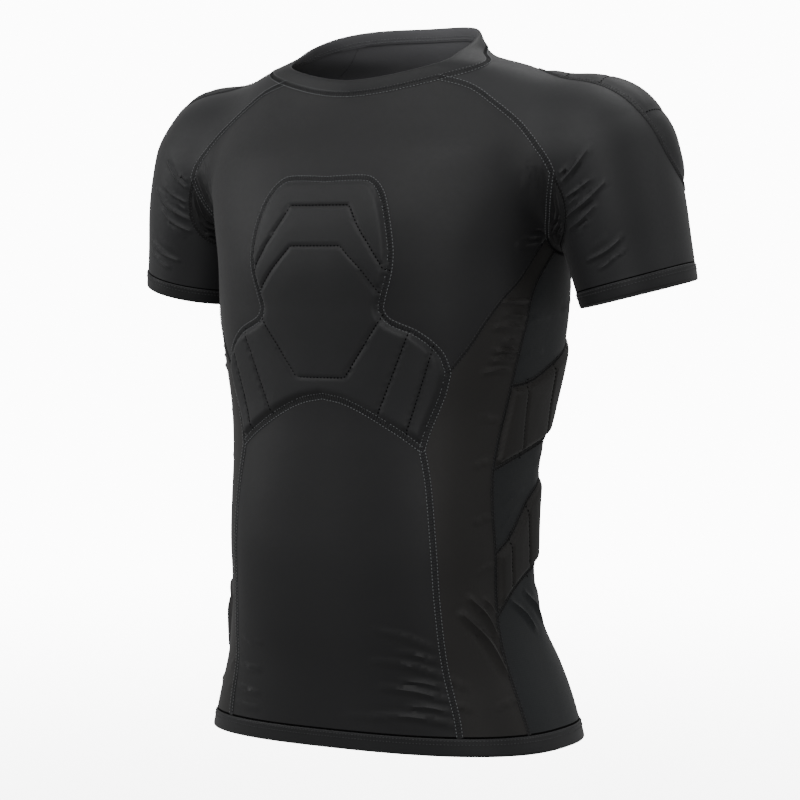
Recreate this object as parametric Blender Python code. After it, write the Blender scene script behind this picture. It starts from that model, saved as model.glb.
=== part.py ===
"""Short-sleeved padded compression shirt, filled out as if worn, with nothing inside it.

The cloth is a set of thin curved panels on one general figure. The figure is a smooth
field: zero on the outside of the cloth, negative inside it. Each panel is bounded by
named seams, and two panels that share a seam use the same seam points, each drawn back
by half of the seam gap. +Z is up, the front faces -Y, and +X is the wearer's left.
The origin is on the centre line at the height of the neck's sides.
"""
import math

import bpy
import numpy as np
from mathutils import Vector
from mathutils.geometry import delaunay_2d_cdt

# Driving dimensions, in metres
CLOTH = 0.0014          # thickness of the shirt cloth as built
BAND = 0.0022           # thickness of the doubled neck band, hem and cuffs
SEAM_GAP = 0.0003       # space between two pieces that are sewn together
PAD_RISE = 0.0050       # how far a foam pad stands above the cloth
SHOULDER_RISE = 0.0045  # the same for the thinner pads on the shoulders
GROOVE_HALF = 0.0055    # from a quilting line to the pad's full height
STITCH_SHARE = 0.48     # height of the cloth at a quilting line, as a share of the pad's
SHOULDER_SHARE = 0.75   # the same on the shoulders, where the quilting is shallow
NECK_HEIGHT = 0.0015    # height of the neckline at its sides
NECK_SLOPE = 0.39       # its rise for one towards the back
NECK_DIP = 0.0085       # how far it hangs below that slope at the front and the back
NECK_BAND = 0.0125      # height of the neck band
HEM_SEAM = -0.656       # upper edge of the turned hem
HEM_END = -0.674        # lower edge of the shirt
CUFF_BAND = 0.016       # height of the turned sleeve hem
CUFF_TILT = 0.005       # how much shorter the sleeve is on its outer side
SPACING = 0.024         # between the inner points of a panel
SEAM_STEP = 0.017       # between the points along a seam

# The trunk's sections: height, half width, depth to the front and to the back,
# all in millimetres, and the squareness of the front and of the back
TRUNK_COLUMNS = ("z", "half_width", "front", "back", "front_square", "back_square")
TRUNK = (
    (-730, 205, 116, 141, 2.60, 2.40),
    (-690, 197, 120, 139, 2.60, 2.40),
    (-660, 189, 122, 136, 2.60, 2.40),
    (-630, 180, 125, 131, 2.60, 2.40),
    (-600, 170, 129, 118, 2.60, 2.40),
    (-560, 158, 136, 88, 2.80, 2.30),
    (-520, 152, 140, 68, 2.95, 2.25),
    (-480, 152, 142, 61, 3.00, 2.25),
    (-440, 153, 141, 65, 2.90, 2.25),
    (-390, 156, 138, 82, 2.70, 2.30),
    (-350, 160, 136, 101, 2.60, 2.50),
    (-300, 168, 138, 118, 2.60, 2.60),
    (-250, 173, 143, 128, 2.60, 2.60),
    (-200, 175, 147, 131, 2.55, 2.60),
    (-165, 183, 142, 131, 2.50, 2.50),
    (-130, 192, 130, 128, 2.45, 2.45),
    (-100, 195, 117, 122, 2.40, 2.40),
    (-70, 197, 101, 109, 2.00, 2.10),
    (-45, 194, 91, 98, 1.65, 2.00),
    (-28, 178, 86, 92, 1.55, 2.00),
    (-14, 148, 83, 86, 1.65, 2.00),
    (-2, 107, 80, 79, 1.85, 2.00),
    (10, 94, 78, 73, 2.00, 2.00),
    (24, 87, 76, 69, 2.00, 2.00),
    (60, 82, 72, 64, 2.00, 2.00),
)
# The arm's sections: distance below the shoulder joint, radius across, radius fore and aft
ARM_COLUMNS = ("along", "across", "fore_aft")
ARM = (
    (-30, 60, 68),
    (0, 62, 73),
    (50, 62, 75),
    (100, 58, 70),
    (150, 54, 66),
    (210, 50, 62),
)
SHOULDER_JOINT = (0.226, 0.018, -0.101)
ARM_CAP = 0.070                     # height of the rounded shoulder over the joint
ARM_LEAN = (0.213, 0.090, -1.0)      # direction of the arm on the +X side
BLEND_TOP = 0.050                   # rounding between trunk and arm over the shoulder
BLEND_PIT = 0.012                   # the same in the armpit
BLEND_HEIGHTS = (-0.200, -0.110)    # the rounding grows between these heights


class Table:
    """Rows of sizes in millimetres, read in between by a smooth curve."""

    def __init__(self, columns, rows, plain=()):
        data = np.array(rows, float)
        self.at = {}
        for k, name in enumerate(columns):
            self.at[name] = data[:, k] * (1.0 if name in plain else 0.001)
        self.key = self.at[columns[0]]
        self.slopes = {name: np.gradient(v, self.key) for name, v in self.at.items()}

    def place(self, x):
        x = np.clip(x, self.key[0], self.key[-1])
        i = np.clip(np.searchsorted(self.key, x) - 1, 0, len(self.key) - 2)
        span = self.key[i + 1] - self.key[i]
        return i, span, (x - self.key[i]) / span

    def read(self, name, place):
        i, span, t = place
        v, m = self.at[name], self.slopes[name]
        t2, t3 = t * t, t * t * t
        return ((2 * t3 - 3 * t2 + 1) * v[i] + (t3 - 2 * t2 + t) * span * m[i]
                + (3 * t2 - 2 * t3) * v[i + 1] + (t3 - t2) * span * m[i + 1])


TRUNK_TABLE = Table(TRUNK_COLUMNS, TRUNK, plain=("front_square", "back_square"))
ARM_TABLE = Table(ARM_COLUMNS, ARM)


def unit(v):
    v = np.asarray(v, float)
    return v / np.maximum(np.linalg.norm(v, axis=-1, keepdims=True), 1e-12)


ARM_ALONG = unit(ARM_LEAN)
ARM_SIDE = unit(np.cross(ARM_ALONG, (0.0, 1.0, 0.0)) * -1.0)
ARM_BACK = np.cross(ARM_SIDE, ARM_ALONG) * -1.0


def trunk_field(p):
    place = TRUNK_TABLE.place(p[..., 2])
    wide = TRUNK_TABLE.read("half_width", place)
    front, back = TRUNK_TABLE.read("front", place), TRUNK_TABLE.read("back", place)
    ahead = p[..., 1] < 0
    deep = np.where(ahead, front, back)
    square = np.where(ahead, TRUNK_TABLE.read("front_square", place),
                      TRUNK_TABLE.read("back_square", place))
    reach = (np.abs(p[..., 0] / wide) ** square
             + np.abs(p[..., 1] / deep) ** square + 1e-12) ** (1 / square)
    return (reach - 1) * np.sqrt(wide * (front + back) / 2)


def arm_field(p):
    q = p - np.array(SHOULDER_JOINT)
    along = q @ ARM_ALONG
    place = ARM_TABLE.place(along)
    across, deep = ARM_TABLE.read("across", place), ARM_TABLE.read("fore_aft", place)
    above = np.clip(-along, 0, None)
    reach = np.sqrt((q @ ARM_SIDE / across) ** 2 + (q @ ARM_BACK / deep) ** 2
                    + (above / ARM_CAP) ** 2)
    return (reach - 1) * np.sqrt(across * deep)


def field(p):
    """Negative inside the figure, zero on it."""
    p = np.asarray(p, float)
    arm = arm_field(p * np.where(p[..., :1] < 0, (-1.0, 1.0, 1.0), 1.0))
    low, high = BLEND_HEIGHTS
    t = np.clip((p[..., 2] - low) / (high - low), 0, 1)
    blend = BLEND_PIT + (BLEND_TOP - BLEND_PIT) * t * t * (3 - 2 * t)
    trunk = trunk_field(p)
    share = np.clip(0.5 + 0.5 * (arm - trunk) / blend, 0, 1)
    return arm + (trunk - arm) * share - blend * share * (1 - share)


def normal(p):
    """Outward direction of the figure's surface."""
    step = 2e-4
    parts = []
    for k in range(3):
        d = np.zeros(3)
        d[k] = step
        parts.append((field(p + d) - field(p - d)) / (2 * step))
    return unit(np.stack(parts, -1))


def settle(p, rounds=6):
    """Moves points onto the figure along its own slope."""
    p = np.array(p, float)
    step = 2e-4
    for _ in range(rounds):
        slope = np.stack([(field(p + d) - field(p - d)) / (2 * step)
                          for d in np.eye(3) * step], -1)
        square = np.maximum((slope ** 2).sum(-1), 1e-6)
        move = np.clip(field(p) / square, -0.02, 0.02)
        p -= move[..., None] * slope
    return p


def leave(start, toward, first=0.0):
    """Where rays from inside the figure come out of it."""
    start, toward = np.broadcast_arrays(start, toward)
    t = np.zeros(start.shape[:-1]) + first
    for _ in range(26):
        t -= 0.62 * np.clip(field(start + t[..., None] * toward), -0.03, 0.03)
    step = 1e-4
    for _ in range(5):
        value = field(start + t[..., None] * toward)
        slope = (field(start + (t + step)[..., None] * toward) - value) / step
        t -= np.clip(value / np.where(np.abs(slope) < 0.05, 0.05, slope), -0.004, 0.004)
    return start + t[..., None] * toward


def lengths(line):
    steps = np.linalg.norm(np.diff(line, axis=0), axis=1)
    return np.concatenate([[0.0], np.cumsum(steps)])


def spread(line, count):
    """The same line with evenly spaced points."""
    along = lengths(line)
    at = np.linspace(0, along[-1], count)
    return np.stack([np.interp(at, along, line[:, k]) for k in range(line.shape[1])], -1)


def through(points, fine=12):
    """A smooth curve through points, by Catmull-Rom spans."""
    p = np.array(points, float)
    p = np.vstack([2 * p[0] - p[1], p, 2 * p[-1] - p[-2]])
    t = np.linspace(0, 1, fine, endpoint=False)[:, None]
    spans = []
    for a, b, c, d in zip(p[:-3], p[1:-2], p[2:-1], p[3:]):
        spans.append(0.5 * (2 * b + (c - a) * t + (2 * a - 5 * b + 4 * c - d) * t ** 2
                            + (3 * b - a - 3 * c + d) * t ** 3))
    return np.vstack(spans + [p[-2:-1]])


def mirrored(p):
    return p * np.array([-1.0, 1.0, 1.0])


# Seams of the +X side, in millimetres or degrees. The other side is their mirror image.
NECK_FRONT_ANGLE = 53.0     # where the front armhole seam meets the neckline
NECK_BACK_ANGLE = 122.0     # the same for the back armhole seam
ARMHOLE_COLUMNS = ("x", "y", "z")
ARMHOLE_FRONT = ((120, -62, -34), (148, -66, -47), (169, -69, -61), (184, -71, -77),
                 (195, -71, -93), (203, -69, -108), (207, -65, -121))
ARMHOLE_BACK = ((116, 68, -16), (146, 88, -40), (172, 102, -66), (192, 108, -96),
                (203, 102, -128))
GUSSET_TRUNK = ((202, -55, -133), (197, -49, -147), (191, -39, -161), (185, -28, -173),
                (180, -14, -185), (177, 4, -193), (175, 25, -196), (171, 46, -190),
                (169, 60, -177), (174, 71, -161), (188, 82, -145))
GUSSET_SLEEVE = ((212, -57, -135), (215, -52, -149), (214, -46, -165), (205, -32, -182),
                 (191, 14, -192), (191, 40, -191), (195, 60, -186), (202, 77, -174),
                 (208, 87, -157), (210, 90, -142))
GIRTH_COLUMNS = ("angle", "z")
CHEST_SIDE = ((55, -283), (60, -260), (66, -238), (74, -217))
SIDE = ((80, -230), (76.5, -265), (73.5, -300), (71, -340), (68, -375), (66, -405),
        (66, -440), (67.5, -480), (68, -530), (68.5, -560), (70, -590), (72, -620),
        (74, -656))
FRONT_PRINCESS = ((42, -415), (43.4, -473), (45, -530), (47.9, -588), (51.6, -635),
                  (52.6, -656))
FACE_COLUMNS = ("x", "z")
BACK_PRINCESS = ((161, -222), (147, -262), (126, -320), (111, -380), (102, -440),
                 (99, -500), (104, -560), (114, -610), (124, -656))
PAD_TOP = ((0, -125), (38, -124), (51, -127), (62, -138), (70, -156), (76, -180),
           (78, -198), (76, -215), (70, -235), (67, -248), (72, -258), (83, -264),
           (97, -270), (110, -280), (119, -292), (123, -308))
PAD_SIDE = ((123, -308), (118, -328), (111, -347), (105, -364), (101, -381))
PAD_ARCH = ((101, -381), (88, -371), (76, -363), (50, -348), (25, -337), (0, -332))
# Heights at which the flank's cross seams leave the side seam and reach the back one,
# with the angles and heights that they pass
RIB_TOP = (-322, ((83, -317), (97, -301), (112, -284)), -272)
RIB_FOOT = (-402, ((77, -392), (92, -381), (108, -370)), -360)
WAIST_TOP = (-482, ((76, -466), (88, -432), (102, -412)), -404)
WAIST_FOOT = (-543, ((77, -522), (88, -506), (103, -492)), -484)


def mm(points):
    return np.array(points, float) * 0.001


def girth_point(angle, height):
    """A point of the trunk at an angle from the front, in degrees, and a height in mm."""
    a = math.radians(angle)
    start = np.array([[0.0, 0.0, height * 0.001]])
    return leave(start, np.array([[math.sin(a), -math.cos(a), 0.0]]), 0.05)[0]


def face_point(x, height, side):
    """A point of the trunk's front (side -1) or back (side 1), x and height in mm."""
    start = np.array([[x * 0.001, 0.0, height * 0.001]])
    return leave(start, np.array([[0.0, float(side), 0.0]]), 0.02)[0]


def neck_ring(angles, rise=0.0):
    """Points where the figure meets the neckline's plane, raised by rise."""
    a = np.radians(angles)
    start = np.zeros((len(a), 3)) + (0, 0, NECK_HEIGHT + rise)
    start[:, 2] -= NECK_DIP * np.cos(a) ** 2
    toward = np.stack([np.sin(a), -np.cos(a), -NECK_SLOPE * np.cos(a)], -1)
    return leave(start, toward, 0.03)


def level_ring(angles, z):
    a = np.radians(angles)
    start = np.zeros((len(a), 3)) + (0, 0, z)
    return leave(start, np.stack([np.sin(a), -np.cos(a), 0 * a], -1), 0.04)


def cut_at(line, heights):
    """Pieces of a falling line between the given heights."""
    z = line[:, 2]
    marks = [0.0]
    for h in heights:
        k = int(np.argmax(z <= h * 0.001))
        t = (z[k - 1] - h * 0.001) / (z[k - 1] - z[k])
        marks.append(k - 1 + t)
    marks.append(len(line) - 1.0)
    index = np.arange(len(line))
    pieces = []
    for a, b in zip(marks[:-1], marks[1:]):
        at = np.concatenate([[a], index[(index > a + 0.01) & (index < b - 0.01)], [b]])
        pieces.append(np.stack([np.interp(at, index, line[:, k]) for k in range(3)], -1))
    return pieces


def even(line, step):
    """Settled points along a line at even steps, with its own ends kept."""
    count = max(2, int(round(lengths(line)[-1] / step)) + 1)
    points = spread(line, count)
    points[1:-1] = settle(points[1:-1])
    return points


def nearest_split(line, point):
    """Cuts a line in two at its point nearest to the given one."""
    k = int(np.argmin(np.linalg.norm(line - point, axis=1)))
    return line[:k + 1], line[k:]


class Seams:
    """Every seam of the +X side as settled points; step is their spacing."""

    def __init__(self, step):
        self.step = step
        f, b = NECK_FRONT_ANGLE, NECK_BACK_ANGLE

        self.neck_turn = [self.turns(neck_ring, a0, a1) for a0, a1 in ((0, f), (f, b), (b, 180))]
        self.neck_front, self.neck_side, self.neck_back = map(neck_ring, self.neck_turn)
        front = settle(through(np.vstack([self.neck_front[-1:], mm(ARMHOLE_FRONT)])))
        back = settle(through(np.vstack([self.neck_back[:1], mm(ARMHOLE_BACK)])))
        self.armhole_front, self.armhole_back = even(front, step), even(back, step)
        tip_f, tip_b = self.armhole_front[-1], self.armhole_back[-1]
        trunk = settle(through(np.vstack([tip_f, mm(GUSSET_TRUNK), tip_b])))
        sleeve = settle(through(np.vstack([tip_f, mm(GUSSET_SLEEVE), tip_b])))
        first, rest = nearest_split(trunk, settle(mm([(181, -18, -182)]))[0])
        second, rest = nearest_split(rest, settle(mm([(177, 6, -194)]))[0])
        third, fourth = nearest_split(rest, settle(mm([(171, 48, -189)]))[0])
        self.gusset = [even(line, step * 0.55) for line in (first, second, third, fourth)]
        inner = settle(mm([(191, 14, -192)]))[0]
        lower, upper = nearest_split(sleeve, inner)
        self.gusset_sleeve = [even(line, step * 0.55) for line in (lower, upper)]

        corner = face_point(*PAD_TOP[-1], -1)
        foot = face_point(*PAD_SIDE[-1], -1)
        side_line = [girth_point(*row) for row in CHEST_SIDE]
        self.chest_side = even(settle(through([corner] + side_line + [first[-1]])), step)
        self.pad_top = even(through([face_point(*row, -1) for row in PAD_TOP]), step * 0.8)
        self.pad_side = even(through([face_point(*row, -1) for row in PAD_SIDE]), step * 0.8)
        self.pad_arch = even(through([face_point(*row, -1) for row in PAD_ARCH]), step * 0.8)
        line = [foot] + [girth_point(*row) for row in FRONT_PRINCESS]
        self.princess = even(settle(through(line)), step)
        side = settle(through([second[-1]] + [girth_point(*row) for row in SIDE]))
        rows = (RIB_TOP, RIB_FOOT, WAIST_TOP, WAIST_FOOT)
        self.side = [even(p, step) for p in cut_at(side, [r[0] for r in rows])]
        rear = settle(through([third[-1]] + [face_point(*row, 1) for row in BACK_PRINCESS]))
        self.rear = [even(p, step) for p in cut_at(rear, [r[2] for r in rows])]
        self.cross = []
        for k, (_, passes, _) in enumerate(rows):
            line = [self.side[k][-1]] + [girth_point(*row) for row in passes]
            self.cross.append(even(settle(through(line + [self.rear[k][-1]])), step))
        ends = (self.princess[-1], self.side[-1][-1], self.rear[-1][-1])
        angles = [0.0] + [math.degrees(math.atan2(e[0], -e[1])) for e in ends] + [180.0]
        self.hem_turn = [self.turns(hem_ring, a0, a1) for a0, a1 in zip(angles, angles[1:])]
        self.hem = [hem_ring(turn) for turn in self.hem_turn]
        for k, end in enumerate(ends):
            self.hem[k][-1] = self.hem[k + 1][0] = end

    def turns(self, ring, first, last):
        """Angles between two others that part a ring in even steps."""
        fine = np.linspace(first, last, 80)
        along = lengths(ring(fine))
        count = max(2, int(round(along[-1] / self.step)) + 1)
        return np.interp(np.linspace(0, along[-1], count), along, fine)


def hem_ring(angles):
    return level_ring(angles, HEM_SEAM)


def full_turn(parts):
    """Angles all round from those of the +X half."""
    half = np.concatenate([p[:-1] for p in parts] + [parts[-1][-1:]])
    return np.concatenate([half, 360 - half[-2:0:-1]])


def cuff_turn(step):
    """Angles round the end of a sleeve, from the underarm seam, in degrees."""
    return np.linspace(-180, 180, int(round(2 * math.pi * 0.06 / step)) + 1)


# Stitching that quilts the pads, as the real one shows it
CHEST_QUILT = (
    ((78, -212), (72, -211), (57, -187), (33, -151), (-33, -151), (-57, -187), (-72, -211),
     (-78, -212)),
    ((69, -236), (65, -230), (28, -189), (-28, -189), (-65, -230), (-69, -236)),
    ((69, -253), (66, -258), (27, -314), (-27, -314), (-66, -258), (-69, -253)),
    ((93, -268), (59, -351)),
    ((113, -282), (86, -369)),
    ((-93, -268), (-59, -351)),
    ((-113, -282), (-86, -369)),
)
RIB_QUILT = (((80, -315), (80, -395)), ((97, -295), (97, -382)), ((112, -280), (112, -374)))
WAIST_QUILT = (((75, -462), (76, -526)), ((86, -436), (88, -512)), ((101, -410), (102, -494)))
# Outline and quilting of the shoulder pad: angle round the arm from its outer side,
# positive to the front, and distance along the arm's line from the neck
SHOULDER_COLUMNS = ("angle", "along")
SHOULDER_PAD = ((6, 90), (11, 106), (13, 126), (13, 142), (10, 157), (5, 170), (-4, 181),
                (-16, 190), (-32, 195), (-50, 194), (-67, 184), (-74, 166), (-66, 146),
                (-52, 124), (-38, 104), (-25, 89), (-8, 84))
SHOULDER_QUILT = (((11, 106), (-39, 106)), ((13, 130), (-56, 132)), ((10, 155), (-71, 158)))
# The largest creases, each a low ridge: where it starts and ends, its half width and its
# height in millimetres. On the sleeve a place is (angle, along) as for its pad, on the
# sides (angle from the front, z) and on the abdomen (x, z).
CREASE_COLUMNS = ("start", "end", "half_width", "height")
CREASES = {
    "sleeve": (((88, 148), (56, 151), 6, 2.6), ((92, 169), (56, 161), 7, 3.0),
               ((101, 182), (62, 173), 7, 3.0), ((97, 217), (70, 208), 6, 2.2),
               ((88, 233), (64, 220), 6, 2.0), ((-92, 166), (-64, 172), 7, 2.4),
               ((-104, 184), (-74, 196), 7, 2.8), ((-98, 214), (-72, 214), 6, 2.0)),
    "side_front": (((56, -548), (69, -588), 7, 2.6), ((57, -532), (66, -560), 6, 2.0)),
    "flank_lower": (((81, -530), (93, -560), 7, 2.4), ((104, -528), (97, -566), 7, 2.2)),
    "abdomen": (((78, -596), (112, -592), 6, 2.0), ((84, -618), (115, -616), 6, 2.0),
                ((-80, -604), (-113, -600), 6, 2.0), ((-90, -628), (-118, -624), 6, 2.0)),
}
SPINE = ((60, 8, -115), (110, 10, -113), (158, 13, -116), (204, 17, -134), (232, 21, -165),
         (247, 27, -200), (258, 31.5, -250), (269, 36, -300))


class Face:
    """Flat coordinates for the panels of the front (facing -1) or the back (facing 1).

    Each level has an axis behind the panel. It moves away above the armpits, where the
    panel lies flatter, so that lines from it meet the cloth squarely.
    """

    plane = 0.06

    def __init__(self, facing, near, far):
        self.facing, self.near, self.far = facing, near, far

    def axis(self, z):
        return self.near + (self.far - self.near) * ease((z + 0.215) / 0.06)

    def flat(self, p):
        axis = self.axis(p[:, 2])
        ahead = axis + self.facing * p[:, 1]
        return np.stack([p[:, 0] * (axis + self.plane) / ahead, p[:, 2]], -1)

    def lift(self, uv):
        u, z = uv[:, 0], uv[:, 1]
        axis = self.axis(z)
        toward = unit(np.stack([u, self.facing * (axis + self.plane), 0 * u], -1))
        start = np.stack([0 * u, -self.facing * axis, z], -1)
        return leave(start, toward, (axis - 0.005) / np.abs(toward[:, 1]))


class Around:
    """Flat coordinates round the upright centre line, for the panels of the sides."""

    radius = 0.150

    def flat(self, p):
        angle = np.arctan2(p[:, 0], -p[:, 1])
        return np.stack([angle * self.radius, p[:, 2]], -1)

    def lift(self, uv):
        angle = uv[:, 0] / self.radius
        toward = np.stack([np.sin(angle), -np.cos(angle), 0 * angle], -1)
        start = np.stack([0 * angle, 0 * angle, uv[:, 1]], -1)
        return leave(start, toward, 0.04)


class Limb:
    """Flat coordinates round a line from the neck into the sleeve."""

    radius = 0.066

    def __init__(self):
        self.line = through(mm(SPINE), 24)
        self.at = lengths(self.line)
        self.tangent = unit(np.gradient(self.line, self.at, axis=0))
        ahead = np.array([0.0, -1.0, 0.0])
        ahead = unit(ahead - self.tangent * (self.tangent @ ahead)[:, None])
        self.ahead = ahead
        self.outer = np.cross(ahead, self.tangent) * -1.0
        if self.outer[0, 2] < 0:
            self.outer = -self.outer

    def station(self, s):
        def read(rows):
            return np.stack([np.interp(s, self.at, rows[:, k]) for k in range(3)], -1)
        return read(self.line), read(self.outer), read(self.ahead)

    def lift(self, uv):
        angle = uv[:, 0] / self.radius
        centre, outer, ahead = self.station(uv[:, 1])
        toward = unit(np.cos(angle)[:, None] * outer + np.sin(angle)[:, None] * ahead)
        return leave(centre, toward, 0.02)

    def flat(self, p):
        """Angle and distance of points that follow one another along a line."""
        away = np.einsum("nmk,mk->nm", p[:, None, :] - self.line[None], self.tangent)
        far = np.linalg.norm(p[:, None, :] - self.line[None], axis=2)
        crossing = (away[:, :-1] >= 0) & (away[:, 1:] < 0)
        far = np.where(crossing, far[:, :-1], 9.0)
        k = np.argmin(far, axis=1)
        rows = np.arange(len(p))
        t = away[rows, k] / (away[rows, k] - away[rows, k + 1])
        s = self.at[k] + t * (self.at[k + 1] - self.at[k])
        centre, outer, ahead = self.station(s)
        q = p - centre
        angle = np.arctan2((q * ahead).sum(1), (q * outer).sum(1))
        return np.stack([angle * self.radius, s], -1)

    def flat_line(self, p):
        uv = self.flat(p)
        uv[:, 0] = np.unwrap(uv[:, 0] / self.radius) * self.radius
        return uv


def inside(points, loop):
    """Which flat points lie inside a closed loop."""
    x, y = points[:, 0], points[:, 1]
    hit = np.zeros(len(points), bool)
    for (x0, y0), (x1, y1) in zip(loop, np.roll(loop, -1, axis=0)):
        if y0 == y1:
            continue
        across = (y0 > y) != (y1 > y)
        hit ^= across & (x < (x1 - x0) * (y - y0) / (y1 - y0) + x0)
    return hit


def distance(points, lines):
    """Shortest distance from flat points to any of the lines."""
    best = np.full(len(points), 9.0)
    for line in lines:
        for a, b in zip(line[:-1], line[1:]):
            d = b - a
            t = np.clip(((points - a) @ d) / max(d @ d, 1e-12), 0, 1)
            gap = points - a - t[:, None] * d
            best = np.minimum(best, np.sqrt((gap ** 2).sum(1)))
    return best


def closed(loop):
    return np.vstack([loop, loop[:1]])


def mesh_region(loop, holes, lines, offsets, spacing):
    """Flat triangles filling a loop. Its own points come first and are kept as they are,
    and each line gets rows of points on it and beside it, at its own offset."""
    rings = [loop] + list(holes)
    points = list(np.vstack(rings))
    edges, at = [], 0
    for ring in rings:
        edges += [(at + k, at + (k + 1) % len(ring)) for k in range(len(ring))]
        at += len(ring)
    fixed = len(points)
    borders = [closed(r) for r in rings]
    borders_in = 1 if lines and lines[0] is loop else 0

    def keep(extra, clear):
        extra = extra[inside(extra, loop)]
        for hole in holes:
            extra = extra[~inside(extra, hole)]
        return extra[distance(extra, borders) > clear]

    crests = []
    for line in lines[borders_in:]:
        line = spread(line, max(2, int(round(lengths(line)[-1] / min(spacing, 0.012))) + 1))
        kept = keep(line, 0.0016)
        for a, b in zip(kept[:-1], kept[1:]):
            if np.linalg.norm(b - a) < 0.03:
                edges.append((len(points), len(points) + 1))
            points.append(a)
        if len(kept):
            points.append(kept[-1])
        crests.append(line)
    for line, offset in zip(lines, offsets):
        line = spread(line, max(2, int(round(lengths(line)[-1] / 0.017)) + 1))
        side = unit(np.gradient(line, axis=0))[:, ::-1] * (1, -1) * offset
        for moved in (line + side, line - side):
            moved = keep(moved, offset * 0.8)
            if len(moved) and crests:
                moved = moved[distance(moved, crests) > offset * 0.8]
            if len(moved) and len(points) > fixed:
                near = np.array(points[fixed:])
                gap = np.linalg.norm(moved[:, None] - near[None], axis=2).min(1)
                moved = moved[gap > offset * 0.6]
            for k in range(len(moved) - 1):
                if np.linalg.norm(moved[k + 1] - moved[k]) < 0.024:
                    edges.append((len(points) + k, len(points) + k + 1))
            points += list(moved)
    low, high = loop.min(0), loop.max(0)
    rows = np.arange(low[1], high[1], spacing * 0.866)
    lattice = []
    for k, v in enumerate(rows):
        us = np.arange(low[0] + (k % 2) * spacing / 2, high[0], spacing)
        lattice.append(np.stack([us, np.full(len(us), v)], -1))
    lattice = keep(np.vstack(lattice), spacing * 0.5)
    if crests:
        lattice = lattice[distance(lattice, crests) > spacing * 0.5]
    if len(points) > fixed and len(lattice):
        near = np.array(points[fixed:])
        gap = np.concatenate([
            np.sqrt(((part[:, None] - near[None]) ** 2).sum(2).min(1))
            for part in np.array_split(lattice, max(1, len(lattice) * len(near) // 4000000))])
        lattice = lattice[gap > spacing * 0.5]
    points += list(lattice)
    out, _, faces, came, _, _ = delaunay_2d_cdt(
        [Vector(p) for p in points], edges, [], 0, 1e-7, True)
    uv = np.array([tuple(v) for v in out])
    faces = np.array([f for f in faces])
    middle = uv[faces].mean(1)
    within = inside(middle, loop)
    faces, middle = faces[within], middle[within]
    for hole in holes:
        outside = ~inside(middle, hole)
        faces, middle = faces[outside], middle[outside]
    origin = np.full(len(out), -1)
    for k, sources in enumerate(came):
        for source in sources:
            if source < fixed:
                origin[k] = source
    used = np.unique(faces)
    index = np.full(len(out), -1)
    index[used] = np.arange(len(used))
    return uv[used], index[faces], origin[used]


def drawn_back(loop, clockwise):
    """A loop of surface points drawn back by half of the seam gap."""
    ahead = unit(np.roll(loop, -1, axis=0) - loop)
    behind = unit(loop - np.roll(loop, 1, axis=0))
    up = normal(loop)
    sign = -1.0 if clockwise else 1.0
    a, b = np.cross(up, ahead) * sign, np.cross(up, behind) * sign
    both = unit(a + b)
    share = np.clip((both * a).sum(1), 0.35, 1)
    return loop + both * (SEAM_GAP / 2 / share)[:, None]


def area(loop):
    x, y = loop[:, 0], loop[:, 1]
    return 0.5 * float((x * np.roll(y, -1) - y * np.roll(x, -1)).sum())


class Panel:
    """One cut piece: outer and inner points and the triangles between its edges."""

    def __init__(self, name, loop, mapping, flat=None, holes=(), quilt=(), folds=(),
                 spacing=SPACING, rise=0.0, share=STITCH_SHARE, thickness=CLOTH):
        self.name = name
        flat = mapping.flat(loop) if flat is None else flat
        if area(flat) < 0:
            loop, flat = loop[::-1], flat[::-1]
        clockwise = self.clockwise(flat, mapping)
        rings3 = [drawn_back(loop, clockwise)]
        rings2 = [flat]
        for hole3, hole2 in holes:
            if area(hole2) > 0:
                hole3, hole2 = hole3[::-1], hole2[::-1]
            rings3.append(drawn_back(hole3, clockwise))
            rings2.append(hole2)
        lines = list(quilt) + [line for line, _, _ in folds]
        offsets = [GROOVE_HALF] * len(quilt) + [half for _, half, _ in folds]
        if rise:
            lines, offsets = [rings2[0]] + lines, [GROOVE_HALF] + offsets
        uv, faces, origin = mesh_region(rings2[0], rings2[1:], lines, offsets, spacing)
        at = np.vstack(rings3)
        outer = np.zeros((len(uv), 3))
        own = origin >= 0
        outer[own] = at[origin[own]]
        outer[~own] = mapping.lift(uv[~own])
        up = normal(outer)
        height = np.zeros(len(uv))
        if rise:
            away = distance(uv, [closed(rings2[0])])
            seam_away = distance(uv, list(quilt)) if quilt else np.full(len(uv), 9.0)
            height = rise * ease(away / GROOVE_HALF)
            sewn = share + (1 - share) * ease(seam_away / GROOVE_HALF)
            height = np.minimum(height, rise * sewn)
        fold = np.zeros(len(uv))
        if folds:
            for line, half, tall in folds:
                fold += tall * (1 - ease(distance(uv, [line]) / half))
            fold *= ease(distance(uv, [closed(r) for r in rings2]) / 0.012)
        self.inner = outer + up * (fold - thickness)[:, None]
        self.outer = outer + up * (fold + height)[:, None]
        if clockwise:
            faces = faces[:, ::-1]
        self.faces = faces

    @staticmethod
    def clockwise(flat, mapping):
        """True where flat coordinates run the other way round, as seen from outside."""
        middle = flat.mean(0)
        step = 0.004
        p = mapping.lift(np.array([middle, middle + (step, 0), middle + (0, step)]))
        return float(np.cross(p[1] - p[0], p[2] - p[0]) @ normal(p[:1])[0]) < 0

    def solid(self):
        count = len(self.outer)
        tris = [tuple(f) for f in self.faces] + [tuple(f[::-1] + count) for f in self.faces]
        border = {}
        for a, b, c in self.faces:
            for e in ((a, b), (b, c), (c, a)):
                border[e] = True
        rim = [(a, b) for a, b in border if (b, a) not in border]
        tris += [(b, a, a + count) for a, b in rim] + [(b, a + count, b + count) for a, b in rim]
        return np.vstack([self.outer, self.inner]), tris

    def other_side(self, name):
        twin = object.__new__(Panel)
        twin.name = name
        twin.outer, twin.inner = mirrored(self.outer), mirrored(self.inner)
        twin.faces = self.faces[:, ::-1]
        return twin


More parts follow.
